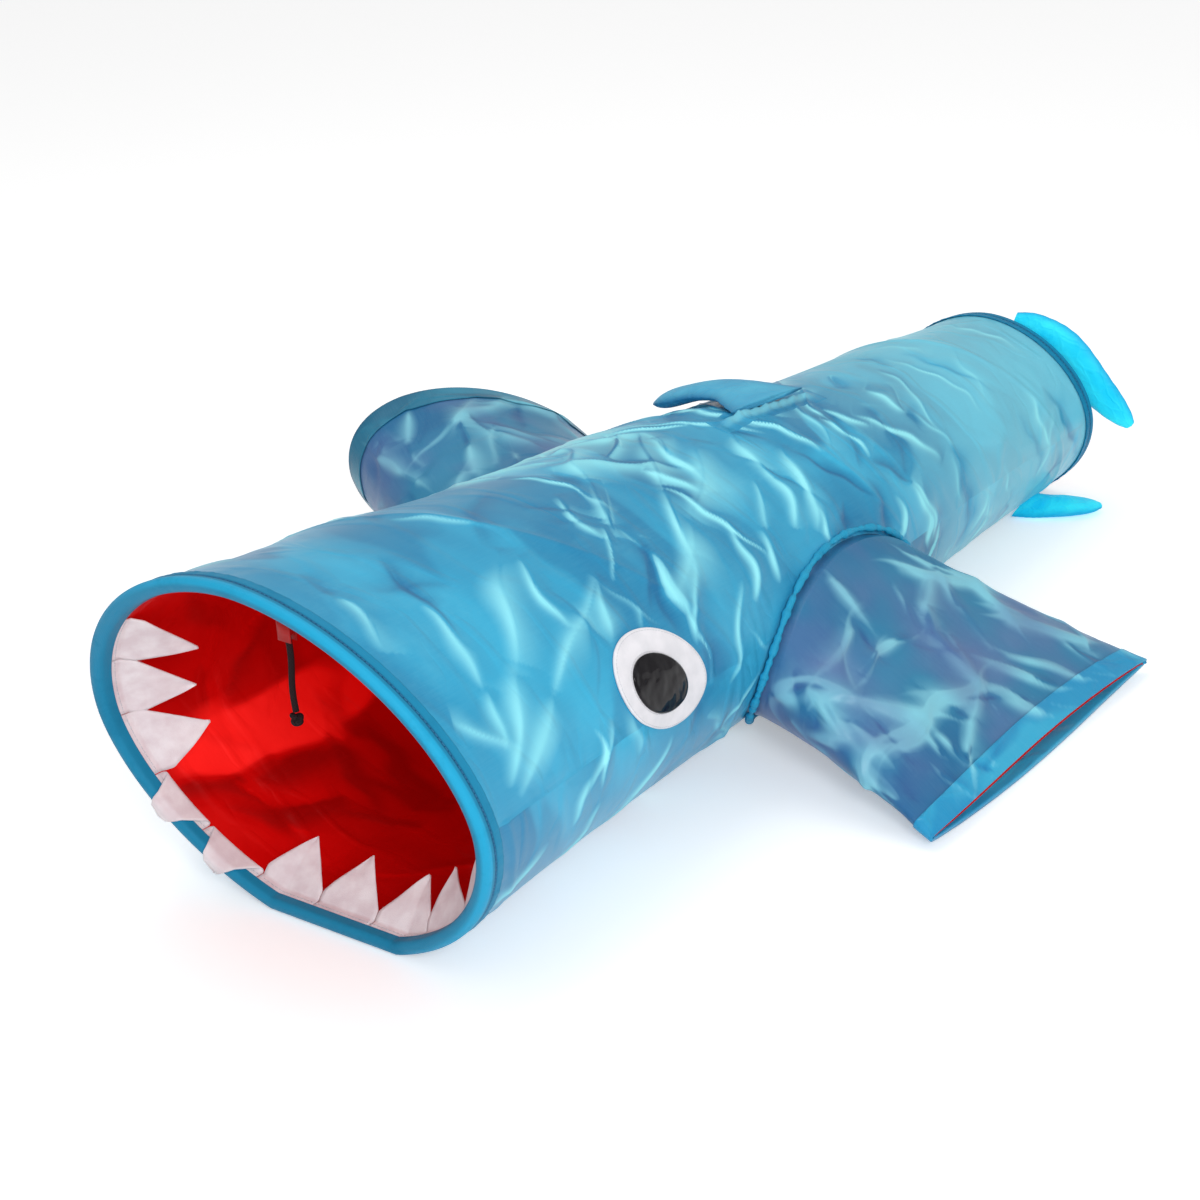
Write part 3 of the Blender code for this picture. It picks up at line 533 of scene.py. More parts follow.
def wall_points(along, angle, outwards):
    """Places on the wall, for arrays of along, angle and outwards."""
    x, z = section(along, angle)
    next_x, next_z = section(along, angle + NORMAL_STEP)
    last_x, last_z = section(along, angle - NORMAL_STEP)
    normal_x, normal_z = next_z - last_z, last_x - next_x
    length = np.hypot(normal_x, normal_z)
    x = x + outwards * normal_x / length
    z = z + outwards * normal_z / length + BELLY_CLEAR
    return np.stack((x, along - lean_at(along) * z, z), axis=-1)


def wall_radius(along):
    share = along / LENGTH
    return (mix(MOUTH_WIDTH, TAIL_WIDTH, share) + mix(MOUTH_HEIGHT, TAIL_HEIGHT, share)) / 4


def side_place(y, z):
    """How far along and at which angle the wall's near side passes places seen from the side."""
    along = y + mix(MOUTH_LEAN, TAIL_LEAN, y / LENGTH) * z
    low = np.full_like(along, -math.pi / 2)
    high = np.full_like(along, math.pi / 2)
    for _ in range(HALVINGS):
        middle = (low + high) / 2
        below = section(along, middle)[1] + BELLY_CLEAR < z
        low = np.where(below, middle, low)
        high = np.where(below, high, middle)
    return along, middle


def wire_along(turn):
    """How far along the spring wire lies, by a curve through its quarter turns."""
    place = np.minimum(turn / (math.pi / 2), len(QUARTER_TURNS) - 1.0001)
    index = place.astype(int)
    knots = np.array(QUARTER_TURNS)
    steps = np.diff(knots)
    slopes = np.concatenate((steps[:1], 2 * steps[:-1] * steps[1:] / (steps[:-1] + steps[1:]), steps[-1:]))
    f = place - index
    curve = (1 + 2 * f) * (1 - f) ** 2 * knots[index] + f * f * (3 - 2 * f) * knots[index + 1]
    curve += f * (1 - f) ** 2 * slopes[index] - f * f * (1 - f) * slopes[index + 1]
    return LENGTH * curve


def sag_between_wires(along, angle):
    """How far the cloth is drawn in between the rims and the wire, and a small ridge over the wire."""
    last_turn = (len(QUARTER_TURNS) - 1) * math.pi / 2
    turn = (-angle) % math.tau
    supports = [np.zeros_like(along)]
    ridge = np.zeros_like(along)
    for whole in range(math.ceil(last_turn / math.tau)):
        here = turn + math.tau * whole
        on_wire = here <= last_turn
        place = np.where(on_wire, wire_along(here), LENGTH)
        supports.append(place)
        ridge += np.where(on_wire, RIDGE_HEIGHT * np.exp(-((along - place) / RIDGE_WIDTH) ** 2), 0.0)
    supports.append(np.full_like(along, LENGTH))
    sag = np.zeros_like(along)
    for before, after in zip(supports, supports[1:]):
        span = np.maximum(after - before, 1e-6)
        share = np.clip((along - before) / span, 0.0, 1.0)
        sag += SAG * span * 4 * share * (1 - share) * ((along >= before) & (along < after))
    sag *= SAG_BELOW + SAG_GROWTH * smooth_step(0.5 + 0.5 * np.sin(angle))
    return ridge - np.minimum(sag, SAG_MOST)


def stray_creases(seed):
    """Small creases between the main ones, mostly on one slant and some across it."""
    random = np.random.RandomState(seed)
    creases = []
    for count, alongs, lengths, heights, same_way in STRAY_CREASES:
        for _ in range(count):
            along = random.uniform(*alongs)
            degrees = random.uniform(-180, 180)
            slant = STRAY_SLANT if random.rand() < same_way else -STRAY_SLANT
            slant += random.normal() * STRAY_SPREAD
            half = random.uniform(*lengths) / 2
            spread = math.degrees(half * math.cos(slant) / wall_radius(along))
            reach = half * math.sin(slant)
            ends = (along + reach, degrees + spread), (along - reach, degrees - spread)
            height = random.uniform(*heights)
            if random.rand() < VALLEY_CHANCE:
                height *= -VALLEY_DEPTH
            creases.append((*ends, random.uniform(*STRAY_WIDTHS), height))
    return creases


def mirrored(creases):
    """The same creases on the other side of the tunnel, a little further along and lower."""
    (shift, other_shift), (degrees, other_degrees) = MIRROR_SHIFTS, MIRROR_DEGREES
    return [
        ((a + shift, degrees - p), (b + other_shift, other_degrees - q), width, height * MIRROR_HEIGHT)
        for (a, p), (b, q), width, height in creases
    ]


def crest(distance, width, lean):
    """A narrow-topped ridge that falls away faster on the side where lean is 1."""
    reach = distance * mix(1 / GENTLE_SIDE, 1 / STEEP_SIDE, lean)
    rounding = CREST_ROUND * width
    return np.exp(-(np.sqrt(reach ** 2 + rounding ** 2) - rounding) / width)


def crooked(along, angle):
    """Bends the wall's own measures a little, so that no crease runs straight."""
    return along + waves(along, angle, CROOKED_ALONG), angle + waves(along, angle, CROOKED_ANGLE)


def crease_heights(along, angle, creases):
    total = np.zeros_like(along)
    along, angle = crooked(along, angle)
    for (first, first_degrees), (last, last_degrees), width, height in creases:
        middle = (first + last) / 2
        radius = wall_radius(middle)
        across = wrapped(angle - math.radians((first_degrees + last_degrees) / 2)) * radius
        run = np.array((last - first, math.radians(last_degrees - first_degrees) * radius))
        half = np.linalg.norm(run) / 2
        run /= 2 * half
        reach = ((along - middle) * run[0] + across * run[1]) / half
        beside = (along - middle) * run[1] - across * run[0]
        total += height * np.clip(1 - reach ** 2, 0, None) * crest(beside, width, beside > 0)
    return CREASE_MOST * np.tanh(total / CREASE_MOST)


def tone_of(height, slope):
    """The painted light and shade of the cloth: above a half on crests and faces turned to the light, below
    it elsewhere.
    """
    reach = np.where(height < 0, TONE_DEPTH, TONE_HEIGHT)
    return 0.5 + 0.5 * np.tanh(height / reach - TONE_GAIN * slope - TONE_REST)


def slope_to_light(along, angle, creases, height):
    """How steeply the folds climb towards the light."""
    onwards = crease_heights(along + TONE_STEP, angle, creases)
    upwards = crease_heights(along, angle + TONE_STEP / wall_radius(along), creases)
    towards = -LIGHT_FROM[0] * np.sin(angle) + LIGHT_FROM[2] * np.cos(angle)
    return ((onwards - height) * LIGHT_FROM[1] + (upwards - height) * towards) / TONE_STEP


def exit_reach(points):
    """How far places lie from the middle of an exit, as a share of its oval."""
    return np.hypot((points[:, 1] - EXIT_Y) / EXIT_HALF_LONG, (points[:, 2] - EXIT_HEIGHT) / EXIT_HALF_TALL)


def eye_calm(along, angle):
    """0 under an eye and 1 well away from it."""
    calm = np.ones_like(along)
    for side in (1, -1):
        middle = EYE_ANGLE if side > 0 else math.pi - EYE_ANGLE
        up = side * wrapped(angle - middle) * wall_radius(EYE_ALONG)
        ahead = along - EYE_ALONG
        long = ahead * math.cos(EYE_TILT) + up * math.sin(EYE_TILT)
        tall = -ahead * math.sin(EYE_TILT) + up * math.cos(EYE_TILT)
        reach = np.hypot(long / EYE_HALF_LONG, tall / EYE_HALF_TALL)
        calm *= smooth_step((reach - EYE_CALM_FROM) / EYE_CALM_OVER)
    return calm


def wall_relief(along, angle, creases, toned=False):
    """How far outside its smooth face the cloth lies, and its tone of painted light and shade if that is
    asked for.
    """
    base = wall_points(along, angle, np.zeros_like(along))
    calm = smooth_step((exit_reach(base) - 1.0) / EXIT_CALM)
    calm = np.where(np.abs(np.cos(angle)) > 0.2, calm, 1.0)
    calm = calm * smooth_step(along / RIM_CALM) * smooth_step((LENGTH - along) / RIM_CALM)
    flat = calm * eye_calm(along, angle)
    height = crease_heights(along, angle, creases)
    tone = None
    if toned:
        tone = tone_of(height * flat, slope_to_light(along, angle, creases, height) * flat)
    return sag_between_wires(along, angle) * calm + height * flat, tone


SKIN_CREASES = (
    *FRONT_CREASES, *MIDDLE_CREASES, *mirrored(FRONT_CREASES + MIDDLE_CREASES),
    *stray_creases(SKIN_SEED),
)


def skin_height(along, angle):
    return wall_relief(along, angle, SKIN_CREASES)[0]


# Meshes made from a sheet of squares.
@contextmanager
def reshaped(mesh):
    """Opens a mesh for work on its shape, and puts the work back."""
    shape = bmesh.new()
    shape.from_mesh(mesh)
    yield shape
    shape.to_mesh(mesh)
    shape.free()


def vertex_places(mesh):
    flat = np.empty(len(mesh.vertices) * 3, np.float32)
    mesh.vertices.foreach_get("co", flat)
    return flat.reshape(-1, 3).astype(float)


def grid_mesh(name, squares, size):
    mesh = bpy.data.meshes.new(name)
    with reshaped(mesh) as shape:
        bmesh.ops.create_grid(shape, x_segments=squares[0], y_segments=squares[1], size=size)
    return mesh


def sheet_of_squares(name, squares, place):
    """A flat grid moved by place(across, up), which gives points, UVs in metres and a tone."""
    mesh = grid_mesh(name, squares, 0.5)
    spots = vertex_places(mesh) + 0.5
    points, metres, tone = place(spots[:, 0], spots[:, 1])
    mesh.vertices.foreach_set("co", points.astype(np.float32).ravel())
    corners = np.empty(len(mesh.loops), np.int32)
    mesh.loops.foreach_get("vertex_index", corners)
    layer = mesh.uv_layers.new(name="UVMap")
    layer.uv.foreach_set("vector", metres[corners].astype(np.float32).ravel())
    made = mesh.attributes.new("tone", "FLOAT", "POINT")
    made.data.foreach_set("value", tone.astype(np.float32))
    return mesh


def sewn(mesh, flip=False, cap=False):
    """Joins the edges that meet, and points the faces outwards."""
    with reshaped(mesh) as shape:
        bmesh.ops.remove_doubles(shape, verts=shape.verts, dist=SEWN_WITHIN)
        if cap:
            bmesh.ops.holes_fill(shape, edges=[edge for edge in shape.edges if edge.is_boundary])
            bmesh.ops.recalc_face_normals(shape, faces=shape.faces)
        elif flip:
            bmesh.ops.reverse_faces(shape, faces=shape.faces)
    return mesh


def add_object(name, mesh, finish):
    mesh.shade_smooth()
    mesh.materials.append(finish)
    made = bpy.data.objects.new(name, mesh)
    bpy.context.scene.collection.objects.link(made)
    return made


def thicken(made, thickness, offset=1.0):
    solid = made.modifiers.new("Cloth thickness", "SOLIDIFY")
    solid.thickness = thickness
    solid.offset = offset
    return made


def tube_mesh(name, points, radius, sides, closed=False):
    """A round tube along points, with its UVs in metres: across is round it, up is along it."""
    points = np.asarray(points, float)
    radii = np.broadcast_to(radius, len(points))
    if closed:
        points = np.vstack((points, points[:1]))
        radii = np.append(radii, radii[0])
    ahead = np.gradient(points, axis=0)
    if closed:
        ahead[0] = ahead[-1] = points[1] - points[-2]
    ahead = unit(ahead)
    helper = np.array((0.3, 0.1, 1.0)) if abs(ahead[0, 2]) < 0.9 else np.array((1.0, 0.2, 0.1))
    first = unit(np.cross(ahead, helper))
    second = np.cross(ahead, first)
    steps = run_lengths(points)

    def place(across, up):
        index = np.rint(up * (len(points) - 1)).astype(int)
        turn = across * math.tau
        spoke = first[index] * np.cos(turn)[:, None] + second[index] * np.sin(turn)[:, None]
        metres = np.stack((turn * radii[index], steps[index]), axis=-1)
        return points[index] + spoke * radii[index][:, None], metres, np.zeros_like(up)

    mesh = sheet_of_squares(name, (sides, len(points) - 1), place)
    return sewn(mesh, cap=not closed)


def follow_collapse(piece):
    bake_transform(piece)


def keep_normals(mesh):
    """Stores the smooth normals, so that panels cut from the mesh are shaded as one surface."""
    normals = np.empty(len(mesh.vertices) * 3, np.float32)
    mesh.vertex_normals.foreach_get("vector", normals)
    made = mesh.attributes.new("whole_normal", "FLOAT_VECTOR", "POINT")
    made.data.foreach_set("vector", normals)


def cut_in_panels(name, mesh, finish):
    """The pieces of a wall layer between the panels' leaning planes."""
    keep_normals(mesh)
    pieces = []
    for panel in range(len(PANEL_SHARES) - 1):
        shape = bmesh.new()
        shape.from_mesh(mesh)
        for share, outer in ((PANEL_SHARES[panel], False), (PANEL_SHARES[panel + 1], True)):
            if 0.0 < share < 1.0:
                geometry = [*shape.verts, *shape.edges, *shape.faces]
                bmesh.ops.bisect_plane(
                    shape, geom=geometry, dist=1e-7, plane_co=(0, share * LENGTH, 0),
                    plane_no=(0, 1, PANEL_LEAN), clear_outer=outer, clear_inner=not outer,
                )
        part = bpy.data.meshes.new(f"{name}_{panel + 1}")
        shape.to_mesh(part)
        shape.free()
        piece = add_object(f"{name}_{panel + 1}", part, finish)
        normals = np.empty(len(part.vertices) * 3, np.float32)
        part.attributes["whole_normal"].data.foreach_get("vector", normals)
        part.attributes.remove(part.attributes["whole_normal"])
        part.normals_split_custom_set_from_vertices(normals.reshape(-1, 3).tolist())
        follow_collapse(piece)
        pieces.append(piece)
    bpy.data.meshes.remove(mesh)
    return pieces


# Materials.
def fill(tree, node, values):
    """Sets a node's inputs: a socket is linked to them, anything else becomes their value."""
    for socket, value in values.items():
        if isinstance(value, bpy.types.NodeSocket):
            tree.links.new(value, node.inputs[socket])
        else:
            node.inputs[socket].default_value = value


def add_node(tree, kind, values, **settings):
    """Adds a shader node and gives back its outputs."""
    made = tree.nodes.new(f"ShaderNode{kind}")
    for word, value in settings.items():
        setattr(made, word, value)
    fill(tree, made, values)
    return made.outputs


def math_node(tree, operation, *values):
    return add_node(tree, "Math", dict(enumerate(values)), operation=operation)[0]


def vector_node(tree, operation, first, second):
    return add_node(tree, "VectorMath", {0: first, 1: second}, operation=operation)[0]


def noise(tree, vector, scale, detail, output="Fac", **more):
    values = {"Vector": vector, "Scale": scale, "Detail": detail, **more}
    return add_node(tree, "TexNoise", values)[output]


def bands(tree, axis, values):
    return add_node(tree, "TexWave", values, wave_type="BANDS", bands_direction=axis)["Fac"]


def ranged(tree, value, low, high, to_low=0.0, to_high=1.0, **settings):
    values = {"Value": value, "From Min": low, "From Max": high, "To Min": to_low, "To Max": to_high}
    return add_node(tree, "MapRange", values, **settings)[0]


def mixed(tree, share, first, second):
    """A colour between two colours or colour sockets."""
    made = tree.nodes.new("ShaderNodeMix")
    made.data_type = "RGBA"
    values = {"Factor": share, "A": first, "B": second}
    for index, socket in enumerate(made.inputs):
        if socket.enabled and socket.name in values:
            value = values[socket.name]
            if socket.type == "RGBA" and not isinstance(value, bpy.types.NodeSocket):
                value = (*value, 1.0)
            fill(tree, made, {index: value})
    return next(socket for socket in made.outputs if socket.enabled)


def new_group(name, inputs, outputs):
    """An empty group of nodes that takes a vector and numbers, and gives numbers."""
    group = bpy.data.node_groups.new(name, "ShaderNodeTree")
    for word in inputs:
        kind = "NodeSocketVector" if word == "Vector" else "NodeSocketFloat"
        group.interface.new_socket(word, in_out="INPUT", socket_type=kind)
    for word in outputs:
        group.interface.new_socket(word, in_out="OUTPUT", socket_type="NodeSocketFloat")
    return group, group.nodes.new("NodeGroupInput").outputs, group.nodes.new("NodeGroupOutput")


def use_group(tree, group, vector, **numbers):
    return add_node(tree, "Group", {"Vector": vector, **numbers}, node_tree=group)


def weave_group():
    """A plain weave of crossing threads: its height, and a mask of small uneven threads."""
    group, given, made = new_group("Plain weave", ("Vector", "Threads"), ("Height", "Slubs"))
    threads = {"Vector": given["Vector"], "Scale": given["Threads"]}
    height = math_node(group, "MULTIPLY", bands(group, "X", threads), bands(group, "Y", threads))
    drawn_out = add_node(group, "Mapping", {"Vector": given["Vector"], "Scale": (900.0, 40.0, 1.0)})[0]
    fill(group, made, {"Height": height, "Slubs": noise(group, drawn_out, 1.0, 2.0)})
    return group


def crinkle_group():
    """Sharp small wrinkles of crackling cloth: their height, a slow cloudiness and shaded facets."""
    group, given, made = new_group("Crinkle", ("Vector", "Size", "Stretch"), ("Height", "Cloud", "Facets"))
    inverse = math_node(group, "DIVIDE", 1.0, given["Size"])
    narrower = math_node(group, "DIVIDE", inverse, given["Stretch"])
    scale = add_node(group, "CombineXYZ", {"X": narrower, "Y": inverse, "Z": inverse})[0]
    scaled = vector_node(group, "MULTIPLY", given["Vector"], scale)
    bent = vector_node(group, "ADD", scaled, noise(group, scaled, 0.8, 2.0, "Color"))
    cells = {"Vector": bent, "Scale": 1.0, "Randomness": 1.0}
    edges = add_node(group, "TexVoronoi", cells, feature="DISTANCE_TO_EDGE")["Distance"]
    sharp = ranged(group, edges, 0.0, 0.16, 1.0, 0.0, interpolation_type="SMOOTHERSTEP")
    height = math_node(group, "MULTIPLY_ADD", noise(group, bent, 3.2, 3.0), 0.6, sharp)
    planes = {"Vector": bent, "Scale": 0.8, "Smoothness": 0.25}
    facets = add_node(group, "TexVoronoi", planes, feature="SMOOTH_F1")["Color"]
    fill(group, made, {
        "Height": height,
        "Cloud": noise(group, scaled, 0.45, 3.0),
        "Facets": ranged(group, facets, 0.35, 0.85, 0.0, FACET_SHADE),
    })
    return group


def fuzz_group():
    """Felt and pile: short matted fibres and a few flecks."""
    group, given, made = new_group("Matted fibres", ("Vector", "Fibre"), ("Height", "Flecks"))
    fine = noise(group, given["Vector"], given["Fibre"], 4.0)
    coarse = noise(group, given["Vector"], 60.0, 5.0)
    fill(group, made, {"Height": math_node(group, "MULTIPLY_ADD", coarse, 0.8, fine), "Flecks": coarse})
    return group


def scuff_group():
    """Light scuffs and dust, as a mask."""
    group, given, made = new_group("Scuffs", ("Vector", "Size"), ("Mask",))
    dust = noise(group, given["Vector"], given["Size"], 6.0, Roughness=0.7)
    fill(group, made, {"Mask": ranged(group, dust, 0.52, 0.72)})
    return group


def new_material(name, roughness, metallic=0.0):
    """An empty material, with its nodes, its shader and its texture places."""
    made = bpy.data.materials.new(name)
    made.use_nodes = True
    tree = made.node_tree
    shader = tree.nodes["Principled BSDF"]
    fill(tree, shader, {"Roughness": roughness, "Metallic": metallic})
    return made, tree, shader, tree.nodes.new("ShaderNodeTexCoord").outputs


def stored_tone(tree):
    return add_node(tree, "Attribute", {}, attribute_name="tone")["Fac"]


def bumped(tree, shader, *heights):
    """Bump from (height socket, distance, strength), each laid over the last."""
    over = {}
    for height, distance, strength in heights:
        values = {"Height": height, "Distance": distance, "Strength": strength, **over}
        over = {"Normal": add_node(tree, "Bump", values)[0]}
    fill(tree, shader, over)


def nylon_material(groups, name, hollow, body, crest_colour, roughness, crinkle, tint=None, painted_glow=None):
    """Thin crackle nylon with a fine weave: painted shade in its hollows and on facets, painted highlights
    on crests and faces turned to the light, as its tone gives.
    """
    made, tree, shader, place = new_material(name, roughness)
    weave = use_group(tree, groups["weave"], place["UV"], Threads=NYLON_THREADS)
    wrinkles = use_group(tree, groups["crinkle"], place["UV"], Size=crinkle, Stretch=2.2)
    scuffs = use_group(tree, groups["scuffs"], place["Object"], Size=9.0)[0]
    tone = stored_tone(tree)
    # Painted shade: the colour goes to the hollow colour on facets and where the tone is low; the clouds
    # are random.
    clouds = ranged(tree, wrinkles["Cloud"], 0.38, 0.62, 0.45, 0.0)
    hollows = ranged(tree, tone, 0.12, 0.44, 1.0, 0.0)
    colour = body
    for share in (clouds, hollows, wrinkles["Facets"]):
        colour = mixed(tree, share, colour, hollow)
    # Painted highlight: the colour goes to the crest colour where the tone is high.
    colour = mixed(tree, ranged(tree, tone, 0.50, 0.90), colour, crest_colour)
    if tint is not None:
        patches = ranged(tree, noise(tree, place["Object"], 9.0, 2.0), 0.42, 0.66, 0.0, 0.75)
        colour = mixed(tree, patches, colour, tint)
    pale_threads = ranged(tree, weave["Slubs"], 0.3, 0.7, 0.0, 0.04)
    pale_scuffs = ranged(tree, scuffs, 0.0, 1.0, 0.0, 0.10)
    for share in (pale_threads, pale_scuffs):
        colour = mixed(tree, share, colour, crest_colour)
    fill(tree, shader, {
        "Base Color": colour,
        "Roughness": ranged(tree, scuffs, 0.0, 1.0, roughness - 0.03, roughness + 0.12),
        "Specular IOR Level": CLOTH_SHEEN,
    })
    # Painted light: the cloth glows, more where the tone is high, as if light shone through it.
    if painted_glow is not None:
        *painted_glow_colour, strength = painted_glow
        fill(tree, shader, {
            "Emission Color": (*painted_glow_colour, 1.0),
            "Emission Strength": ranged(tree, tone, 0.2, 0.9, 0.5 * strength, 1.6 * strength),
        })
    bumped(tree, shader, (wrinkles["Height"], 0.0012, 0.55), (weave["Height"], 0.00012, 0.25))
    return made


def felt_material(groups, name, colour, shade):
    made, tree, shader, place = new_material(name, 0.9)
    fibres = use_group(tree, groups["fuzz"], place["Object"], Fibre=1400.0)
    fill(tree, shader, {
        "Base Color": mixed(tree, ranged(tree, fibres["Flecks"], 0.35, 0.65), shade, colour),
        "Roughness": ranged(tree, fibres["Flecks"], 0.3, 0.7, 0.82, 0.97),
        "Sheen Weight": 0.25,
    })
    bumped(tree, shader, (fibres["Height"], 0.0005, 0.6))
    return made


def tape_material(groups, name, colour, shade):
    """Woven tape with a fine rib, darker where it is dirty and along its seam, and paler by painted light
    on the mouth's inner lip, as its tone gives.
    """
    made, tree, shader, place = new_material(name, 0.6)
    weave = use_group(tree, groups["weave"], place["UV"], Threads=TAPE_THREADS)
    scuffs = use_group(tree, groups["scuffs"], place["Object"], Size=22.0)[0]
    base = mixed(tree, stored_tone(tree), colour, shade)
    fill(tree, shader, {
        "Base Color": mixed(tree, ranged(tree, scuffs, 0.0, 1.0, 0.0, 0.22), base, shade),
        "Roughness": ranged(tree, scuffs, 0.0, 1.0, 0.5, 0.7),
        "Specular IOR Level": 0.2,
    })
    bumped(tree, shader, (weave["Height"], 0.0003, 0.5))
    return made


def plush_material(groups, name, colour, shade, light, painted_glow):
    """Nylon drawn over stuffing: soft clouds of tone, small puckers, painted shade along its sewn edge, and
    a painted glow, as if light shone through the cloth.
    """
    made, tree, shader, place = new_material(name, 0.5)
    wrinkles = use_group(tree, groups["crinkle"], place["UV"], Size=0.012, Stretch=1.2)
    weave = use_group(tree, groups["weave"], place["UV"], Threads=NYLON_THREADS)
    base = mixed(tree, ranged(tree, wrinkles["Cloud"], 0.3, 0.7), colour, light)
    cloth = mixed(tree, stored_tone(tree), base, shade)
    # Painted light: the cloth glows with its own colour.
    fill(tree, shader, {
        "Base Color": cloth,
        "Emission Color": cloth,
        "Emission Strength": painted_glow,
        "Roughness": ranged(tree, wrinkles["Cloud"], 0.3, 0.7, 0.42, 0.56),
        "Specular IOR Level": CLOTH_SHEEN,
    })
    bumped(tree, shader, (wrinkles["Height"], 0.0006, 0.5), (weave["Height"], 0.0001, 0.25))
    return made


def steel_material(groups, name, colour, dull):
    made, tree, shader, place = new_material(name, 0.3, 1.0)
    scuffs = use_group(tree, groups["scuffs"], place["Object"], Size=60.0)[0]
    fill(tree, shader, {
        "Base Color": mixed(tree, scuffs, colour, dull),
        "Roughness": ranged(tree, scuffs, 0.0, 1.0, 0.24, 0.5),
    })
    return made


def film_material(groups, name, colour, pale):
    made, tree, shader, place = new_material(name, 0.25)
    wrinkles = use_group(tree, groups["crinkle"], place["UV"], Size=0.014, Stretch=1.0)
    fill(tree, shader, {"Base Color": mixed(tree, wrinkles["Cloud"], colour, pale)})
    bumped(tree, shader, (wrinkles["Height"], 0.0008, 0.6))
    return made


def vinyl_material(groups, name, colour, worn):
    """The pupils' glossy black vinyl, slightly creased, so that it carries grey sheens."""
    made, tree, shader, place = new_material(name, 0.2)
    scuffs = use_group(tree, groups["scuffs"], place["Object"], Size=26.0)[0]
    fill(tree, shader, {
        "Base Color": mixed(tree, scuffs, colour, worn),
        "Roughness": ranged(tree, scuffs, 0.0, 1.0, 0.10, 0.26),
        "Specular IOR Level": 0.25,
    })
    bumped(tree, shader, (noise(tree, place["Object"], 34.0, 2.0), 0.006, 0.6))
    return made


def cord_material(groups, name, hollow, strand, dust):
    """A braid: slanting strands that cross round the cord, with painted shade in the grooves between them.
    """
    made, tree, shader, place = new_material(name, 0.72)
    strands = []
    for slant in (BRAID_SLANT, -BRAID_SLANT):
        turned = add_node(tree, "Mapping", {"Vector": place["UV"], "Rotation": (0.0, 0.0, slant)})[0]
        strands.append(bands(tree, "X", {"Vector": turned, "Scale": 180.0, "Distortion": 0.4}))
    braid = math_node(tree, "MAXIMUM", *strands)
    scuffs = use_group(tree, groups["scuffs"], place["Object"], Size=200.0)[0]
    dusty = ranged(tree, scuffs, 0.0, 1.0, 0.0, 0.2)
    fill(tree, shader, {
        "Base Color": mixed(tree, dusty, mixed(tree, braid, hollow, strand), dust),
        "Specular IOR Level": 0.12,
    })
    bumped(tree, shader, (braid, 0.0005, 0.8))
    return made


def thread_material(groups, name, colour, shade):
    made, tree, shader, place = new_material(name, 0.55)
    fibres = use_group(tree, groups["fuzz"], place["Object"], Fibre=2600.0)
    fill(tree, shader, {"Base Color": mixed(tree, fibres["Flecks"], shade, colour)})
    bumped(tree, shader, (fibres["Height"], 0.0002, 0.6))
    return made


# What makes each finish, its name, its colours and the other values that its maker takes.
FINISHES = {
    # Nylon colours are the painted shade in hollows, the body, and the painted highlight on crests.
    "skin": (
        nylon_material, "blue_crackle_nylon",
        (0.008, 0.165, 0.370), (0.045, 0.460, 0.720), (0.330, 0.880, 0.970), 0.34, 0.050,
    ),
    # The lining's last value is a painted red glow, as if light shone through the cloth.
    "lining": (
        nylon_material, "red_lining_nylon",
        (0.250, 0.001, 0.001), (0.560, 0.002, 0.002), (0.980, 0.024, 0.020), 0.40, 0.045,
        None, (0.9, 0.0, 0.0, 0.18),
    ),
    "sleeve": (
        nylon_material, "sheer_sleeve_nylon",
        (0.006, 0.110, 0.290), (0.035, 0.250, 0.430), (0.230, 0.600, 0.730), 0.33, 0.060,
        (0.115, 0.150, 0.360),
    ),
    # Painted shade: the far sleeve's hem is a darker copy of the hem nylon.
    "far_hem": (
        nylon_material, "far_hem_nylon",
        (0.006, 0.100, 0.200), (0.030, 0.250, 0.390), (0.200, 0.600, 0.730), 0.36, 0.030,
    ),
    "hem": (
        nylon_material, "hem_nylon",
        (0.010, 0.250, 0.530), (0.040, 0.430, 0.680), (0.240, 0.720, 0.880), 0.36, 0.030,
    ),
    "film": (film_material, "clear_crackle_film", (0.70, 0.76, 0.80), (0.82, 0.86, 0.90)),
    "tape": (tape_material, "blue_binding_tape", (0.014, 0.400, 0.680), (0.002, 0.070, 0.170)),
    "seam": (tape_material, "gathered_seam_nylon", (0.020, 0.360, 0.600), (0.004, 0.130, 0.320)),
    "felt": (felt_material, "white_tooth_felt", (0.92, 0.87, 0.90), (0.80, 0.70, 0.74)),
    "eye_felt": (felt_material, "white_eye_felt", (0.90, 0.88, 0.92), (0.80, 0.79, 0.83)),
    # The fin covers' last value is the strength of a painted glow.
    "cover": (
        plush_material, "cyan_fin_nylon",
        (0.008, 0.620, 0.900), (0.004, 0.300, 0.600), (0.040, 0.850, 0.970), 0.28,
    ),
    "back_cover": (
        plush_material, "blue_fin_nylon",
        (0.055, 0.400, 0.660), (0.010, 0.150, 0.340), (0.120, 0.560, 0.780), 0.0,
    ),
    "wadding": (felt_material, "polyester_wadding", (0.85, 0.85, 0.86), (0.72, 0.72, 0.74)),
    "steel": (steel_material, "drawn_spring_steel", (0.58, 0.59, 0.61), (0.36, 0.35, 0.33)),
    "vinyl": (vinyl_material, "black_pupil_vinyl", (0.004, 0.003, 0.005), (0.02, 0.02, 0.024)),
    "cord": (
        cord_material, "black_braided_cord",
        (0.006, 0.003, 0.004), (0.022, 0.012, 0.014), (0.06, 0.03, 0.03),
    ),
    "thread": (thread_material, "blue_sewing_thread", (0.030, 0.250, 0.480), (0.008, 0.110, 0.260)),
    "pale_thread": (thread_material, "white_sewing_thread", (0.80, 0.80, 0.84), (0.55, 0.55, 0.60)),
}


def make_materials():
    makers = {"weave": weave_group, "crinkle": crinkle_group, "fuzz": fuzz_group, "scuffs": scuff_group}
    groups = {word: make() for word, make in makers.items()}
    return {word: make(groups, name, *values) for word, (make, name, *values) in FINISHES.items()}


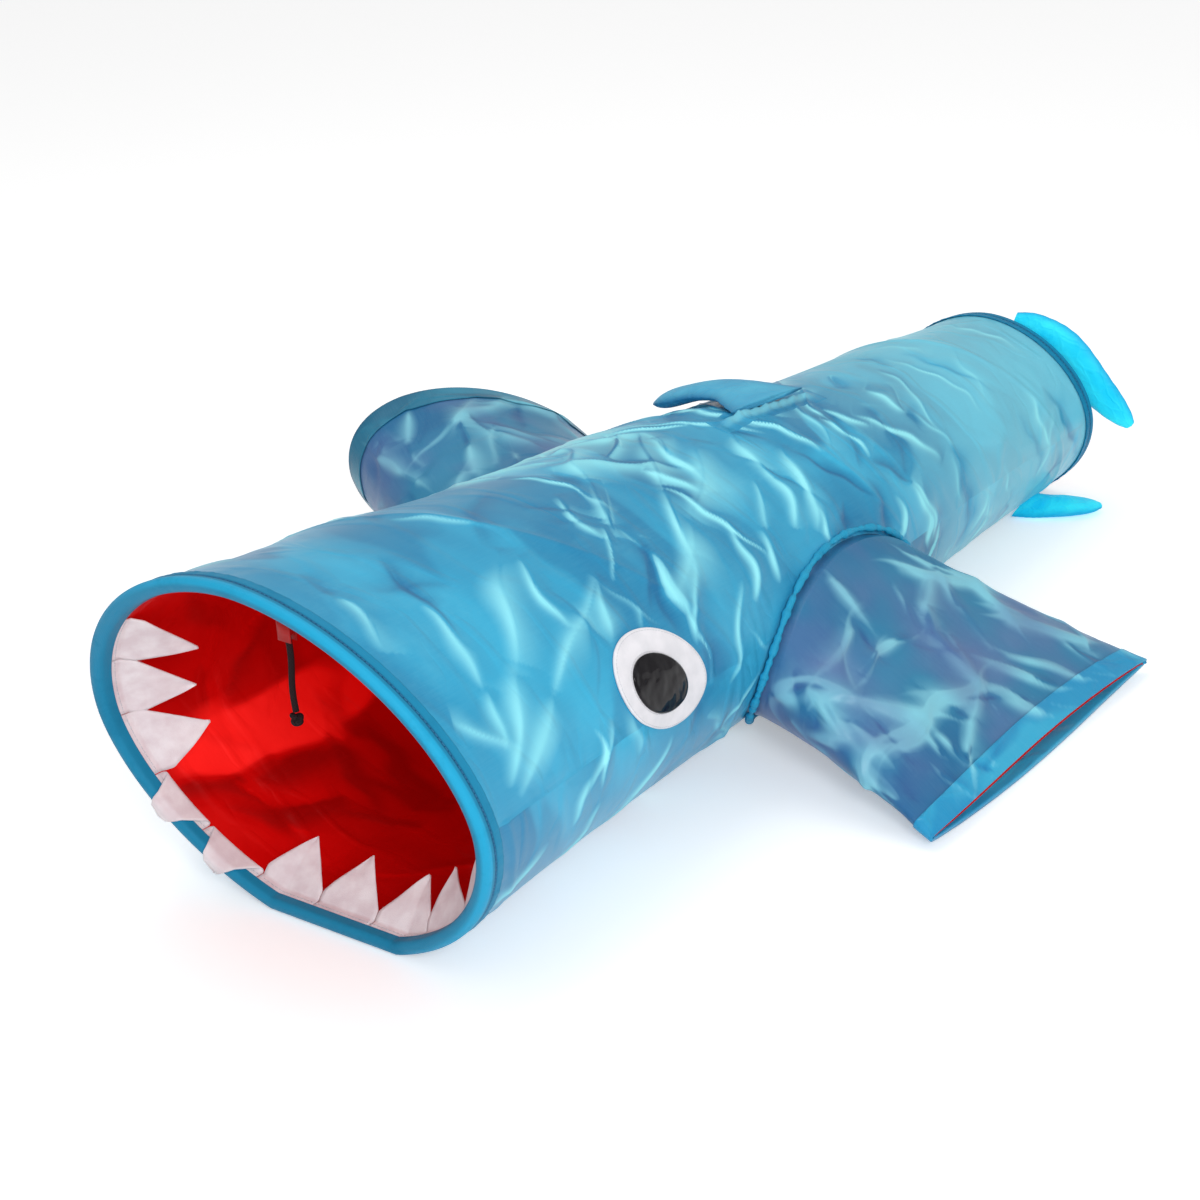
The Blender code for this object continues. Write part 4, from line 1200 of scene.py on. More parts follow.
# The wall's layers.
def light_on_lining(along, angle):
    """Painted light on the lining: the patch where the light through the mouth falls, a painted glow near
    the mouth, and painted shade where the light doesn't reach.
    """
    beside = wrapped(angle - PATCH_ANGLE) * wall_radius(along) + waves(along, angle, PATCH_EDGE)
    reach = np.hypot((along - PATCH_ALONG) / PATCH_LONG, beside / PATCH_WIDE)
    lit = PATCH_LIGHT * (1 - smooth_step((reach - PATCH_CORE) / PATCH_FADE))
    round_it = wrapped(angle - GLOW_ANGLE) / GLOW_WIDE
    painted_glow = GLOW_LIGHT * np.exp(-((along - GLOW_ALONG) / GLOW_LONG) ** 2 - round_it ** 2)
    return lit + painted_glow - LINING_SHADE * smooth_step(0.5 + np.cos(angle - LINING_SHADE_ANGLE))


def wall_layer(name, squares, face, creases, finish, inner):
    """A layer of the wall, with its two exits cut out, in its panels."""
    def place(across, up):
        along = mix(-WALL_END, LENGTH + WALL_END, up)
        angle, along = snapped_to_exits(across * math.tau, along)
        relief, tone = wall_relief(along, angle, creases, toned=True)
        # Painted light: the lining gets the patch of light through the mouth and its shade; the skin is
        # painted lighter towards the rear.
        if inner:
            tone = tone + light_on_lining(along, angle)
        else:
            tone = tone + REAR_LIGHT * smooth_step((along - REAR_FROM) / REAR_OVER)
        points = wall_points(along, angle, face + relief)
        points[:, 2] = np.maximum(points[:, 2], FLOOR_CLEAR - face)
        metres = np.stack((across * math.tau * UV_RADIUS, along), axis=-1)
        return points, metres, np.clip(tone, 0.0, 1.0)

    mesh = sheet_of_squares(name, squares, place)
    cut_exits(mesh)
    return cut_in_panels(name, sewn(mesh, flip=not inner), finish)


def snapped_to_exits(angle, along):
    """Moves the corners that lie near an exit's edge onto it."""
    base = wall_points(along, angle, np.zeros_like(along))
    reach = exit_reach(base)
    near = (np.abs(reach - 1.0) < EXIT_SNAP) & (np.abs(np.cos(angle)) > EXIT_SIDE)
    y = EXIT_Y + (base[near, 1] - EXIT_Y) / reach[near]
    z = EXIT_HEIGHT + (base[near, 2] - EXIT_HEIGHT) / reach[near]
    new_along, new_angle = side_place(y, z)
    far_side = np.cos(angle[near]) < 0
    angle, along = angle.copy(), along.copy()
    whole = angle[near] > math.pi * 1.5
    angle[near] = np.where(far_side, math.pi - new_angle, np.where(whole, math.tau + new_angle, new_angle))
    along[near] = new_along
    return angle, along


def cut_exits(mesh):
    """Takes out the squares inside the two ovals."""
    points = vertex_places(mesh)
    inside = (exit_reach(points) < EXIT_GROWN) & (np.abs(points[:, 0]) > WALL_BESIDE)
    with reshaped(mesh) as shape:
        gone = [face for face in shape.faces if all(inside[corner.index] for corner in face.verts)]
        bmesh.ops.delete(shape, geom=gone, context="FACES")


def make_wall(finishes):
    inwards = [
        (first, last, width, LINING_DEPTH * height)
        for first, last, width, height in (*LINING_CREASES, *stray_creases(LINING_SEED))
    ]
    layers = (
        ("outer_skin", "blue_nylon", SKIN_SQUARES, 0.0, SKIN_CREASES, "skin"),
        ("crinkle_film", "crackle_film", FILM_SQUARES, FILM_FACE, SKIN_CREASES, "film"),
        ("red_lining", "red_lining", LINING_SQUARES, LINING_FACE, inwards, "lining"),
    )
    for node, slot, squares, face, creases, word in layers:
        inner = node == "red_lining"
        panels = wall_layer(f"{node}_panel", squares, face, creases, finishes[word], inner)
        for panel, piece in enumerate(panels):
            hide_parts(node)


def make_coil(finish):
    quarters = len(QUARTER_TURNS) - 1
    turn = np.linspace(0, quarters * math.pi / 2, quarters * WIRE_STEPS + 1)
    points = wall_points(wire_along(turn), -turn, np.full_like(turn, WIRE_CENTRE))
    mesh = tube_mesh("coil_spring_wire", points, WIRE_RADIUS, WIRE_SIDES)
    for piece in cut_in_panels("coil_spring_wire", mesh, finish):
        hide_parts("coil_spring")


# Bindings.
def binding_outline():
    """A strip folded over the wall's edge, as (towards the wall, outwards)."""
    middle = (BINDING_OUTSIDE + BINDING_INSIDE) / 2
    outer = (BINDING_OUTSIDE - BINDING_INSIDE) / 2
    inner = outer - BINDING_CLOTH
    deep = BINDING_FRONT + BINDING_BEND
    shallow = deep - BINDING_CLOTH
    turns = np.linspace(math.pi / 2, 3 * math.pi / 2, BINDING_TURNS)
    outside = [(BINDING_BEND + deep * math.cos(a), middle + outer * math.sin(a)) for a in turns]
    inside = [(BINDING_BEND + shallow * math.cos(a), middle + inner * math.sin(a)) for a in turns[::-1]]
    short = [mix(BINDING_BEND, INNER_LEG, share) for share in INNER_LEG_SHARES]
    legs = [mix(BINDING_BEND, BINDING_LEG, share) for share in OUTER_LEG_SHARES]
    leg_in = [(leg, middle - outer) for leg in short] + [(leg, middle - inner) for leg in short[::-1]]
    leg_out = [(leg, middle + inner) for leg in legs] + [(leg, middle + outer) for leg in legs[::-1]]
    return outside + leg_in + inside + leg_out


def make_binding(name, end, body, finishes):
    outline = np.array(binding_outline())
    outline = np.vstack((outline, outline[:1]))
    start = 0.0 if end < 0 else LENGTH

    def place(across, up):
        index = np.rint(up * (len(outline) - 1)).astype(int)
        angle = across * math.tau
        towards, outwards = outline[index, 0], outline[index, 1]
        leg = smooth_step((towards - PUCKER_FROM) / PUCKER_OVER)
        gather = np.sin(angle * BINDING_PUCKERS) * np.sin(angle * PUCKER_BEATS + 1.0) * PUCKER_HEIGHT
        seam = np.exp(-((towards - SEAM_AT) / SEAM_WIDTH) ** 2)
        outside = (outwards > BINDING_INSIDE / 2) & (towards > BINDING_BEND)
        outwards = outwards + np.where(outside, gather * leg - SEAM_DEPTH * seam, 0.0)
        points = wall_points(start - end * towards, angle, outwards)
        points[:, 2] = np.maximum(points[:, 2], 0.0)
        metres = np.stack((across * math.tau * UV_RADIUS, index * BINDING_UV), axis=-1)
        # Painted light: the mouth's inner lip is paler towards the lit side; the seam line outside is
        # darker.
        lip = smooth_step((0.5 - outwards / BINDING_INSIDE) * LIP_STEEPNESS)
        lit_side = smooth_step(0.5 + LIP_SPREAD * np.cos(angle - LIP_ANGLE))
        paler = LIP_LIGHT * lip * lit_side if end < 0 else 0.0
        return points, metres, BINDING_TONE + np.where(outside, SEAM_SHADE * seam, -paler)

    mesh = sewn(sheet_of_squares(name, (BINDING_ROUND, len(outline) - 1), place))
    with reshaped(mesh) as shape:
        bmesh.ops.recalc_face_normals(shape, faces=shape.faces)
    piece = add_object(name, mesh, finishes["tape"])
    finish_piece(piece, body, name.replace("_cover", ""))
    line = np.linspace(0, math.tau, 2 * BINDING_ROUND, endpoint=False)
    places = np.full_like(line, start - end * SEAM_AT)
    seam = wall_points(places, line, np.full_like(line, BINDING_OUTSIDE - SEAM_DEPTH + STITCH_LIFT))
    stitches = stitch_row(f"{name}_stitches", seam, TAPE_STITCHES, finishes["thread"], closed=True)
    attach(stitches, body)


def finish_piece(piece, body, node):
    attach(piece, body)
    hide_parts(node)


def stitch_row(name, points, size, finish, closed=False):
    """A row of short rounded stitches along a line of points. Their size is a pitch and a radius."""
    pitch, radius = size
    if closed:
        points = np.vstack((points, points[:1]))
    steps = run_lengths(points)
    count = max(int(steps[-1] / pitch), 1)
    mesh = bpy.data.meshes.new(name)
    with reshaped(mesh) as shape:
        for i in range(count):
            ends = [(i + share) * steps[-1] / count for share in STITCH_SHARES]
            first, last = (Vector([np.interp(end, steps, axis) for axis in points.T]) for end in ends)
            turn = (last - first).to_track_quat("Z", "Y").to_matrix().to_4x4()
            bmesh.ops.create_cone(
                shape, cap_ends=True, segments=6, radius1=radius, radius2=radius * STITCH_TAPER,
                depth=(last - first).length, matrix=Matrix.Translation(first.lerp(last, 0.5)) @ turn,
            )
    return add_object(name, mesh, finish)


# Teeth.
def rim_angles():
    """The two side angles of each tooth, spaced evenly round the rim."""
    angles = np.linspace(TOOTH_FIRST, TOOTH_LAST, RIM_SAMPLES + 1)
    places = wall_points(np.zeros_like(angles), angles, np.full_like(angles, TOOTH_FACE))
    lengths = run_lengths(places)
    pitch = lengths[-1] / TOOTH_COUNT
    for tooth in range(TOOTH_COUNT):
        wanted = tooth * pitch + TOOTH_GAP / 2, (tooth + 1) * pitch - TOOTH_GAP / 2
        yield tuple(np.interp(wanted, lengths, angles))


def radian_length(along, angle, outwards):
    """How long a radian round the wall is at one of its places."""
    angles = np.array((angle - HALF_SPAN, angle + HALF_SPAN))
    ends = wall_points(np.full(2, along), angles, np.full(2, outwards))
    return np.linalg.norm(ends[1] - ends[0]) / (2 * HALF_SPAN)


def tooth_path(turned_out):
    """The tooth's middle line as (towards the wall, outwards, width share), from its sewn tab."""
    tab = [(-TOOTH_TUCK, TOOTH_FACE, 1.0), (BINDING_LEG + TOOTH_TUCK, TOOTH_FACE, 1.0)]
    if turned_out:
        return [*tab, *TURNED_PATH]
    for share in np.linspace(0, 1, TOOTH_STEPS)[1:]:
        reach = TOOTH_REACH * share
        bow = math.sin(math.pi * share) * TOOTH_BOW
        towards = BINDING_LEG + TOOTH_TUCK + reach * math.cos(TOOTH_LEAN)
        narrowed = max(share - TOOTH_STRIP, 0.0) / (1 - TOOTH_STRIP)
        outwards = TOOTH_FACE - reach * math.sin(TOOTH_LEAN) - bow
        tab.append((towards, outwards, mix(1.0, TOOTH_TIP, narrowed)))
    return tab


def make_tooth(number, low, high, finish):
    path = np.array(tooth_path(number in TURNED_OUT))
    runs = run_lengths(path[:, :2])
    middle = (low + high) / 2
    radian = radian_length(0.0, middle, TOOTH_FACE)

    def place(across, up):
        towards, outwards, share = (np.interp(up * runs[-1], runs, path[:, column]) for column in range(3))
        offset = (across - 0.5) * (high - low)
        ripple = TOOTH_RIPPLE * np.sin(up * 7 + number * 2.1) * np.sin(across * 5 + number)
        ripple = ripple * smooth_step((up - 0.2) * 2)
        flat, middles = np.full_like(up, TOOTH_FACE), np.full_like(up, middle)
        sewn_part = np.minimum(towards, BINDING_LEG)
        beside = wall_points(sewn_part, middle + offset, flat) - wall_points(sewn_part, middles, flat)
        points = wall_points(towards, middles, outwards + ripple) + beside * share[:, None]
        return points, np.stack((offset * radian * share, up * runs[-1]), axis=-1), np.zeros_like(up)

    name = f"felt_tooth_{number:02d}"
    mesh = sewn(sheet_of_squares(name, TOOTH_SQUARES, place))
    piece = thicken(add_object(name, mesh, finish), TOOTH_THICK)
    finish_piece(piece, "root", f"tooth_{number:02d}")


def make_teeth(finishes):
    for number, (low, high) in enumerate(rim_angles(), 1):
        make_tooth(number, low, high, finishes["felt"])
    angles = np.linspace(TOOTH_FIRST, TOOTH_LAST, TOOTH_ROW_POINTS)
    behind = TOOTH_FACE - TOOTH_THICK - STITCH_LIFT
    row = wall_points(np.full_like(angles, TOOTH_ROW_AT), angles, np.full_like(angles, behind))
    stitches = stitch_row("tooth_row_stitches", row, TOOTH_STITCHES, finishes["pale_thread"])
    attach(stitches, "root")


# Side sleeves.
def root_ring(side, turn, inset, outwards, push=0.0):
    y = EXIT_Y + (EXIT_HALF_LONG - inset) * np.cos(turn)
    z = EXIT_HEIGHT + (EXIT_HALF_TALL - inset) * np.sin(turn)
    along, angle = side_place(y, z)
    points = wall_points(along, angle, outwards)
    points[:, 0] = side * (points[:, 0] + push)
    return points


def flat_end(turn, inset):
    """The slot at the end of the collapsed sleeve."""
    half_long = FLAT_HALF_LONG - inset * FLAT_CORNER_ROOM
    up = np.sign(np.sin(turn)) * np.abs(np.sin(turn)) ** FLAT_SQUARENESS
    wave = FLAT_WAVE * np.sin(turn * 3 + 0.6)
    offsets = np.stack((wave, half_long * np.cos(turn), (FLAT_HALF_TALL - inset) * up), axis=-1)
    return np.array(FLAT_END) + offsets


def puffed_end(turn, inset):
    """The leaning oval at the end of the puffed sleeve."""
    level = np.array((math.sin(PUFFED_SWEEP), math.cos(PUFFED_SWEEP), 0.0))
    upright = np.array((0.0, 0.0, 1.0))
    long_axis = level * math.cos(PUFFED_DROOP) - upright * math.sin(PUFFED_DROOP)
    tall_axis = level * math.sin(PUFFED_DROOP) + upright * math.cos(PUFFED_DROOP)
    long = (PUFFED_HALF_LONG - inset) * np.cos(turn)
    tall = (PUFFED_HALF_TALL - inset) * np.sin(turn)
    return np.array(PUFFED_END) + long[:, None] * long_axis + tall[:, None] * tall_axis


def sleeve_points(side, turn, share, inset):
    """Smooth places on a sleeve, from its root at share 0 to its open end at share 1."""
    root = root_ring(side, turn, inset, SLEEVE_UNDER)
    collar = root_ring(side, turn, inset, COLLAR_STAND, SLEEVE_COLLAR)
    end = flat_end(turn, inset) if side > 0 else puffed_end(turn, inset)
    low = np.clip(share / COLLAR_SHARE, 0, 1)[:, None]
    high = np.clip((share - COLLAR_SHARE) / (1 - COLLAR_SHARE), 0, 1)[:, None]
    return root + (collar - root) * low + (end - collar) * high


def sleeve_relief(points, share, creases):
    """How far creases lift the sleeve's cloth at its smooth places."""
    total = np.zeros(len(points))
    for first, last, width, height in creases:
        run = last - first
        length = np.linalg.norm(run)
        run = run / length
        away = points - first
        reach = away @ run
        along_it = np.clip(reach, 0, length)
        off = away - along_it[:, None] * run
        lean = smooth_step(0.5 + (off[:, 0] * run[1] - off[:, 1] * run[0]) / SLEEVE_LEAN)
        fade = 1 - 0.5 * np.abs(2 * along_it / length - 1) ** 2
        total += height * fade * crest(np.linalg.norm(off, axis=1), width, lean)
    total = SLEEVE_MOST * np.tanh(total / SLEEVE_MOST)
    return total * smooth_step(share / ROOT_EASE) * smooth_step((END_BEYOND - share) / END_EASE)


def sleeve_creases(side, lines, seed):
    """The main creases cut into straight runs, and strays laid over the whole sleeve."""
    creases = []
    for width, height, *places in lines:
        places = np.array(places) / MILLIMETRES
        for first, last in zip(places, places[1:]):
            creases.append((first, last, width / MILLIMETRES, height / MILLIMETRES))
    random = np.random.RandomState(seed)
    for _ in range(SLEEVE_STRAYS):
        turn = random.uniform(0, math.tau)
        share = random.uniform(*SLEEVE_STRAY_SHARES)
        slant = random.uniform(-1, 1)
        turns = np.array((turn, turn + random.uniform(*SLEEVE_STRAY_TURNS) * slant))
        shares = np.clip(np.array((share, share + random.uniform(*SLEEVE_STRAY_LENGTHS))), 0, 1)
        first, last = sleeve_points(side, turns, shares, 0.0)
        height = random.uniform(*SLEEVE_STRAY_HEIGHTS)
        height *= 1 if random.rand() > VALLEY_CHANCE else -VALLEY_DEPTH
        creases.append((first, last, random.uniform(*SLEEVE_STRAY_WIDTHS), height))
    return creases


def hem_fold(low, up):
    """A hem's shares and lifts, from its outer edge over the sleeve's end to its edge inside."""
    share = low + (1 - low) * np.minimum(np.minimum(up, 1 - up) / HEM_TURN, 1.0)
    return share, mix(HEM_OUT, -HEM_IN, smooth_step((up - HEM_TURN) / (1 - 2 * HEM_TURN)))


def sleeve_normals(side, turn, share, inset, points):
    """Which way is out of the sleeve at its smooth places."""
    outer, inner = np.minimum(share + SLEEVE_STEP, 1.0), np.maximum(share - SLEEVE_STEP, 0.0)
    onwards = sleeve_points(side, turn + SLEEVE_STEP, share, inset)
    round_it = onwards - sleeve_points(side, turn - SLEEVE_STEP, share, inset)
    ahead = sleeve_points(side, turn, outer, inset) - sleeve_points(side, turn, inner, inset)
    normal = np.cross(round_it, ahead) * side
    normal /= np.maximum(np.linalg.norm(normal, axis=1), 1e-9)[:, None]
    middle = sleeve_points(side, turn, share, inset + SLEEVE_INWARDS)
    towards = np.einsum("ij,ij->i", points - middle, normal)
    return normal * np.where(towards < 0, -1.0, 1.0)[:, None]


def sleeve_mesh(name, side, inset, creases, squares, hem=False):
    def place(across, up):
        turn = across * math.tau
        share, lift = hem_fold(HEM_SHARE, up) if hem else (up, 0.0)
        points = sleeve_points(side, turn, share, inset)
        normal = sleeve_normals(side, turn, share, inset, points)
        smooth = sleeve_points(side, turn, share, 0.0)
        smooth += sum(
            height * np.sin(np.roll(smooth, -shift, axis=1) * rate)
            for shift, (height, rate) in enumerate(SLEEVE_SWAYS, 1)
        )
        relief = sleeve_relief(smooth, share, creases)
        # Painted light and shade: the tone is lighter on creases and on faces turned to the light.
        nearer = sleeve_relief(smooth + TONE_STEP * np.array(LIGHT_FROM), share, creases)
        tone = tone_of(relief, (nearer - relief) / TONE_STEP)
        relief = relief * (INNER_RELIEF if inset else 1.0)
        points = points + normal * (relief + lift)[:, None]
        points[:, 2] = np.maximum(points[:, 2], FLOOR_CLEAR + inset + np.maximum(-lift, 0.0))
        metres = np.stack((across * SLEEVE_ROUND, share * SLEEVE_REACH), axis=-1)
        return points, metres, tone

    return sewn(sheet_of_squares(name, squares, place), flip=side > 0)


def make_sleeve(side, word, lines, seed, finishes):
    creases = sleeve_creases(side, lines, seed)
    layers = (
        ("skin", 0.0, "sleeve", "sleeve_nylon", SLEEVE_SQUARES),
        ("lining", SLEEVE_LINING_INSET, "lining", "red_lining", SLEEVE_LINING_SQUARES),
    )
    for layer, inset, finish, slot, squares in layers:
        name = f"{word}_sleeve_{layer}"
        piece = add_object(name, sleeve_mesh(name, side, inset, creases, squares), finishes[finish])
        sewn_down(piece, f"{word}_fin_{layer}")
    name = f"{word}_sleeve_hem"
    mesh = sleeve_mesh(name, side, 0.0, creases, HEM_SQUARES, hem=True)
    # The far sleeve's hem takes the darker copy of the hem nylon, as painted shade.
    piece = add_object(name, mesh, finishes["hem" if side > 0 else "far_hem"])
    sewn_down(thicken(piece, HEM_CLOTH), f"{word}_fin_hem")
    make_piping(f"{word}_sleeve_piping", side, f"{word}_fin_root_piping", finishes["seam"])


def sewn_down(piece, node):
    """A piece of the sleeves, with its place baked in and its part in the frame hidden."""
    follow_collapse(piece)
    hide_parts(node)


def make_piping(name, side, node, finish):
    """The gathered seam round a sleeve's root, thicker and thinner by turns."""
    turn = np.linspace(0, math.tau, PIPING_POINTS, endpoint=False)
    ring = root_ring(side, turn, -PIPING_OUT, PIPING_OUT - PIPING_SUNK)
    (beating, beats, slow), (tall, waves_round), (low, ripples) = PIPING_GATHERS
    gather = 1 + beating * np.sin(turn * beats) * np.sin(turn * slow)
    gather = gather + tall * np.sin(turn * waves_round + 1.0) + low * np.sin(turn * ripples)
    radii = PIPING_RADIUS * PIPING_DRAWN * gather
    piece = add_object(name, tube_mesh(name, ring, radii, PIPING_SIDES, closed=True), finish)
    sewn_down(piece, node)


# Stuffed fins.
def curve_through(points, share):
    """A Catmull-Rom curve through a few points or numbers, at an array of shares."""
    points = np.asarray(points, float)
    place = share * (len(points) - 1)
    index = np.minimum(place.astype(int), len(points) - 2)
    f = place - index
    if points.ndim > 1:
        f = f[:, None]
    before = points[np.maximum(index - 1, 0)]
    first, second = points[index], points[index + 1]
    after = points[np.minimum(index + 2, len(points) - 1)]
    return (
        first * 2 + (second - before) * f
        + (before * 2 - first * 5 + second * 4 - after) * f * f
        + (first * 3 - before - second * 3 + after) * f ** 3
    ) / 2


def stuffed_mesh(name, line, flat_axis, chords, thicknesses):
    """A plump leaf drawn along a line, with a puckered seam round its edge."""
    line = np.asarray(line, float)
    flat_axis = np.asarray(flat_axis, float)
    def place(across, up):
        share = np.clip(up / FIN_END, 0, 1)
        beyond = np.clip((up - FIN_END) / (1 - FIN_END), 0, 1)
        middle = curve_through(line, share)
        further, nearer = np.minimum(share + FIN_STEP, 1), np.maximum(share - FIN_STEP, 0)
        ahead = unit(curve_through(line, further) - curve_through(line, nearer))
        chord_axis = unit(np.cross(flat_axis, ahead))
        thick_axis = np.cross(ahead, chord_axis)
        tip = np.clip((share - TIP_START) / (1 - TIP_START), 0, 1)
        narrow = np.sqrt(np.clip(1 - beyond ** 2, 0, 1)) * np.sqrt(1 - TIP_NARROWING * tip ** 2)
        turn = across * math.tau
        edge = np.abs(np.cos(turn)) ** FIN_EDGE_POWER
        pucker = 1 + PUCKER_SHARE * np.sin(share * FIN_PUCKERS * math.pi) * edge
        swell = 1 + FIN_SWELL * np.sin(share * FIN_SWELLS + turn * 2) * (1 - edge)
        flat = FIN_EDGE + (1 - FIN_EDGE) * np.abs(np.sin(turn)) ** 0.5
        half_chord = curve_through(chords, share) / 2 * narrow * pucker
        half_thick = curve_through(thicknesses, share) / 2 * narrow * swell * flat / FIN_PLUMP
        wide = chord_axis * (half_chord * np.cos(turn))[:, None]
        thick = thick_axis * (half_thick * np.sin(turn))[:, None]
        reach = ahead * (beyond * thicknesses[-1] * FIN_TIP)[:, None]
        points = middle + (wide + thick) + reach
        points[:, 2] = np.maximum(points[:, 2], FIN_FLOOR)
        metres = np.stack((across * FIN_UV, share * FIN_UV), axis=-1)
        return points, metres, FIN_EDGE_SHADE * edge

    return sewn(sheet_of_squares(name, FIN_SQUARES, place), cap=True)


def make_stuffed(name, line, flat_axis, chords, thicknesses, finish, wadding, anchor=None):
    """A sewn cover with its wadding inside."""
    mesh = stuffed_mesh(f"{name}_pad", line, flat_axis, chords, thicknesses)
    cover = add_object(f"{name}_pad", mesh, finish)
    finish_piece(cover, name, f"{name}_cover")
    inner_line = np.vstack((mix(np.asarray(line[0]), np.asarray(line[1]), WADDING_START), line[1:]))
    chords, thicknesses = np.array(chords) * WADDING_SHARE, np.array(thicknesses) * WADDING_SHARE
    mesh = stuffed_mesh(f"{name}_wadding", inner_line, flat_axis, chords, thicknesses)
    filling = add_object(f"{name}_wadding", mesh, wadding)
    finish_piece(filling, name, f"{name}_stuffing")
    if anchor is not None:
        for piece in (cover, filling):
            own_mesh(piece)


def make_fins(finishes):
    ends = np.array((DORSAL_FRONT, DORSAL_BACK))
    front, back = wall_points(ends, np.full(2, DORSAL_ANGLE), np.full(2, DORSAL_STAND))
    root = (front + back) / 2
    dorsal_line = [root + step for step in np.array(DORSAL_LINE)]
    dorsal_axis = unit(np.cross(back - front, (-1.0, 0.0, 0.0)))
    cover, wadding = finishes["cover"], finishes["wadding"]
    make_stuffed(
        "dorsal_fin", dorsal_line, dorsal_axis, DORSAL_CHORDS, DORSAL_THICKNESSES,
        finishes["back_cover"], wadding, root,
    )
    make_stuffed(
        "upper_tail_lobe", UPPER_LOBE_LINE, (0, 1, 0), UPPER_LOBE_CHORDS, UPPER_LOBE_THICKNESSES,
        cover, wadding,
    )
    make_stuffed(
        "lower_tail_lobe", LOWER_LOBE_LINE, (0, 0, 1), LOWER_LOBE_CHORDS, LOWER_LOBE_THICKNESSES,
        cover, wadding, LOWER_LOBE_ANCHOR,
    )
    make_dorsal_tape(finishes["skin"])


def make_dorsal_tape(finish):
    """The seam along the back: the skin is drawn up into a low ridge that the fin is sewn to."""
    def place(across, up):
        along = mix(DORSAL_FRONT - SEAM_BEYOND, DORSAL_BACK + SEAM_BEYOND, up)
        offset = mix(-SEAM_HALF, SEAM_HALF, across)
        angle = DORSAL_ANGLE - offset / wall_radius(along)
        ends = smooth_step((0.5 - np.abs(up - 0.5)) / 0.16)
        ridge = np.exp(-(np.abs(offset) / BACK_RIDGE_HALF) ** 1.5)
        rise = ridge * (DORSAL_STAND - BACK_RIDGE_LOWER) * ends
        edges = smooth_step((0.5 - np.abs(across - 0.5)) / 0.10) * SEAM_EDGE
        pleat = PLEAT_HEIGHT * np.sin(along * PLEATS) * np.exp(-(offset / PLEAT_HALF) ** 2) * ends
        lift = skin_height(along, angle) + edges + rise + pleat - SEAM_SINK
        # Painted highlight: a pale stripe along the ridge, just beside its top.
        beside = (offset - BACK_RIDGE_LIGHT_AT) / BACK_RIDGE_LIGHT_HALF
        tone = 0.5 + BACK_RIDGE_LIGHT * np.exp(-beside ** 2) * ends
        return wall_points(along, angle, lift), np.stack((angle * UV_RADIUS, along), axis=-1), tone

    mesh = sewn(sheet_of_squares("dorsal_fin_seam_ridge", SEAM_SQUARES, place))
    piece = thicken(add_object("dorsal_fin_seam_ridge", mesh, finish), SEAM_CLOTH, offset=-1.0)
    follow_collapse(piece)
    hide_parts("dorsal_fin_tape")


# Eyes.
def eye_place(side, share, forward, reach, turn, height):
    """Places on an oval that is bent to the creased wall, at a height above it."""
    middle = EYE_ANGLE if side > 0 else math.pi - EYE_ANGLE
    radian = radian_length(EYE_ALONG, middle, 0.0)
    long = EYE_HALF_LONG * share * reach * np.cos(turn)
    tall = EYE_HALF_TALL * share * reach * np.sin(turn)
    along = EYE_ALONG - forward + long * math.cos(EYE_TILT) - tall * math.sin(EYE_TILT)
    up = long * math.sin(EYE_TILT) + tall * math.cos(EYE_TILT)
    angle = middle + side * up / radian
    return wall_points(along, angle, skin_height(along, angle) + height)


def make_eye_disc(name, node, side, oval, heights, dome, finish):
    """A felt or vinyl oval, given as a share of the eye and how far forward it lies."""
    share, forward = oval
    low, high = heights

    def place(across, up):
        turn = across * math.tau
        reach = np.minimum(up / EYE_EDGE, 1.0)
        edge = np.clip((up - EYE_EDGE) / (1 - EYE_EDGE), 0, 1)
        round_off = EYE_ROUNDING * smooth_step((reach - 0.95) / 0.05)
        height = mix(high, low, edge) - round_off * (1 - edge) + dome * (1 - reach ** 2)
        points = eye_place(side, share, forward, reach, turn, height)
        metres = np.stack((reach * np.cos(turn), reach * np.sin(turn)), axis=-1) * EYE_HALF_LONG * share
        return points, metres, np.zeros_like(up)

    mesh = sewn(sheet_of_squares(name, EYE_SQUARES, place), cap=True)
    piece = add_object(name, mesh, finish)
    follow_collapse(piece)
    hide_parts(node)


def make_eyes(finishes):
    felt, vinyl, thread = finishes["eye_felt"], finishes["vinyl"], finishes["pale_thread"]
    white, pupil = (1.0, 0.0), (PUPIL_SHARE, PUPIL_FORWARD)
    turn = np.linspace(0, math.tau, EYE_STITCHES, endpoint=False)
    rings = (("white", white, WHITE_RING), ("pupil", pupil, PUPIL_RING))
    for side, word in ((1, "right"), (-1, "left")):
        make_eye_disc(
            f"{word}_eye_white_felt", f"{word}_eye_white", side, white, EYE_WHITE_HEIGHTS, 0.0,
            felt,
        )
        make_eye_disc(
            f"{word}_pupil_vinyl", f"{word}_eye_pupil", side, pupil, PUPIL_HEIGHTS, PUPIL_DOME,
            vinyl,
        )
        for ring, (share, forward), reach in rings:
            reaches = np.full_like(turn, reach)
            places = eye_place(side, share, forward, reaches, turn, EYE_WHITE_HEIGHTS[1])
            row = stitch_row(f"{word}_eye_{ring}_stitches", places, FELT_STITCHES, thread, closed=True)
            follow_collapse(row)


# Toy cord.
def cord_line():
    share = np.linspace(0, 1, CORD_POINTS)
    sway = CORD_SWAY * np.sin(math.tau * share)
    return np.stack((CORD_X + sway, np.full_like(share, CORD_Y), mix(CORD_TOP, CORD_END, share)), axis=-1)


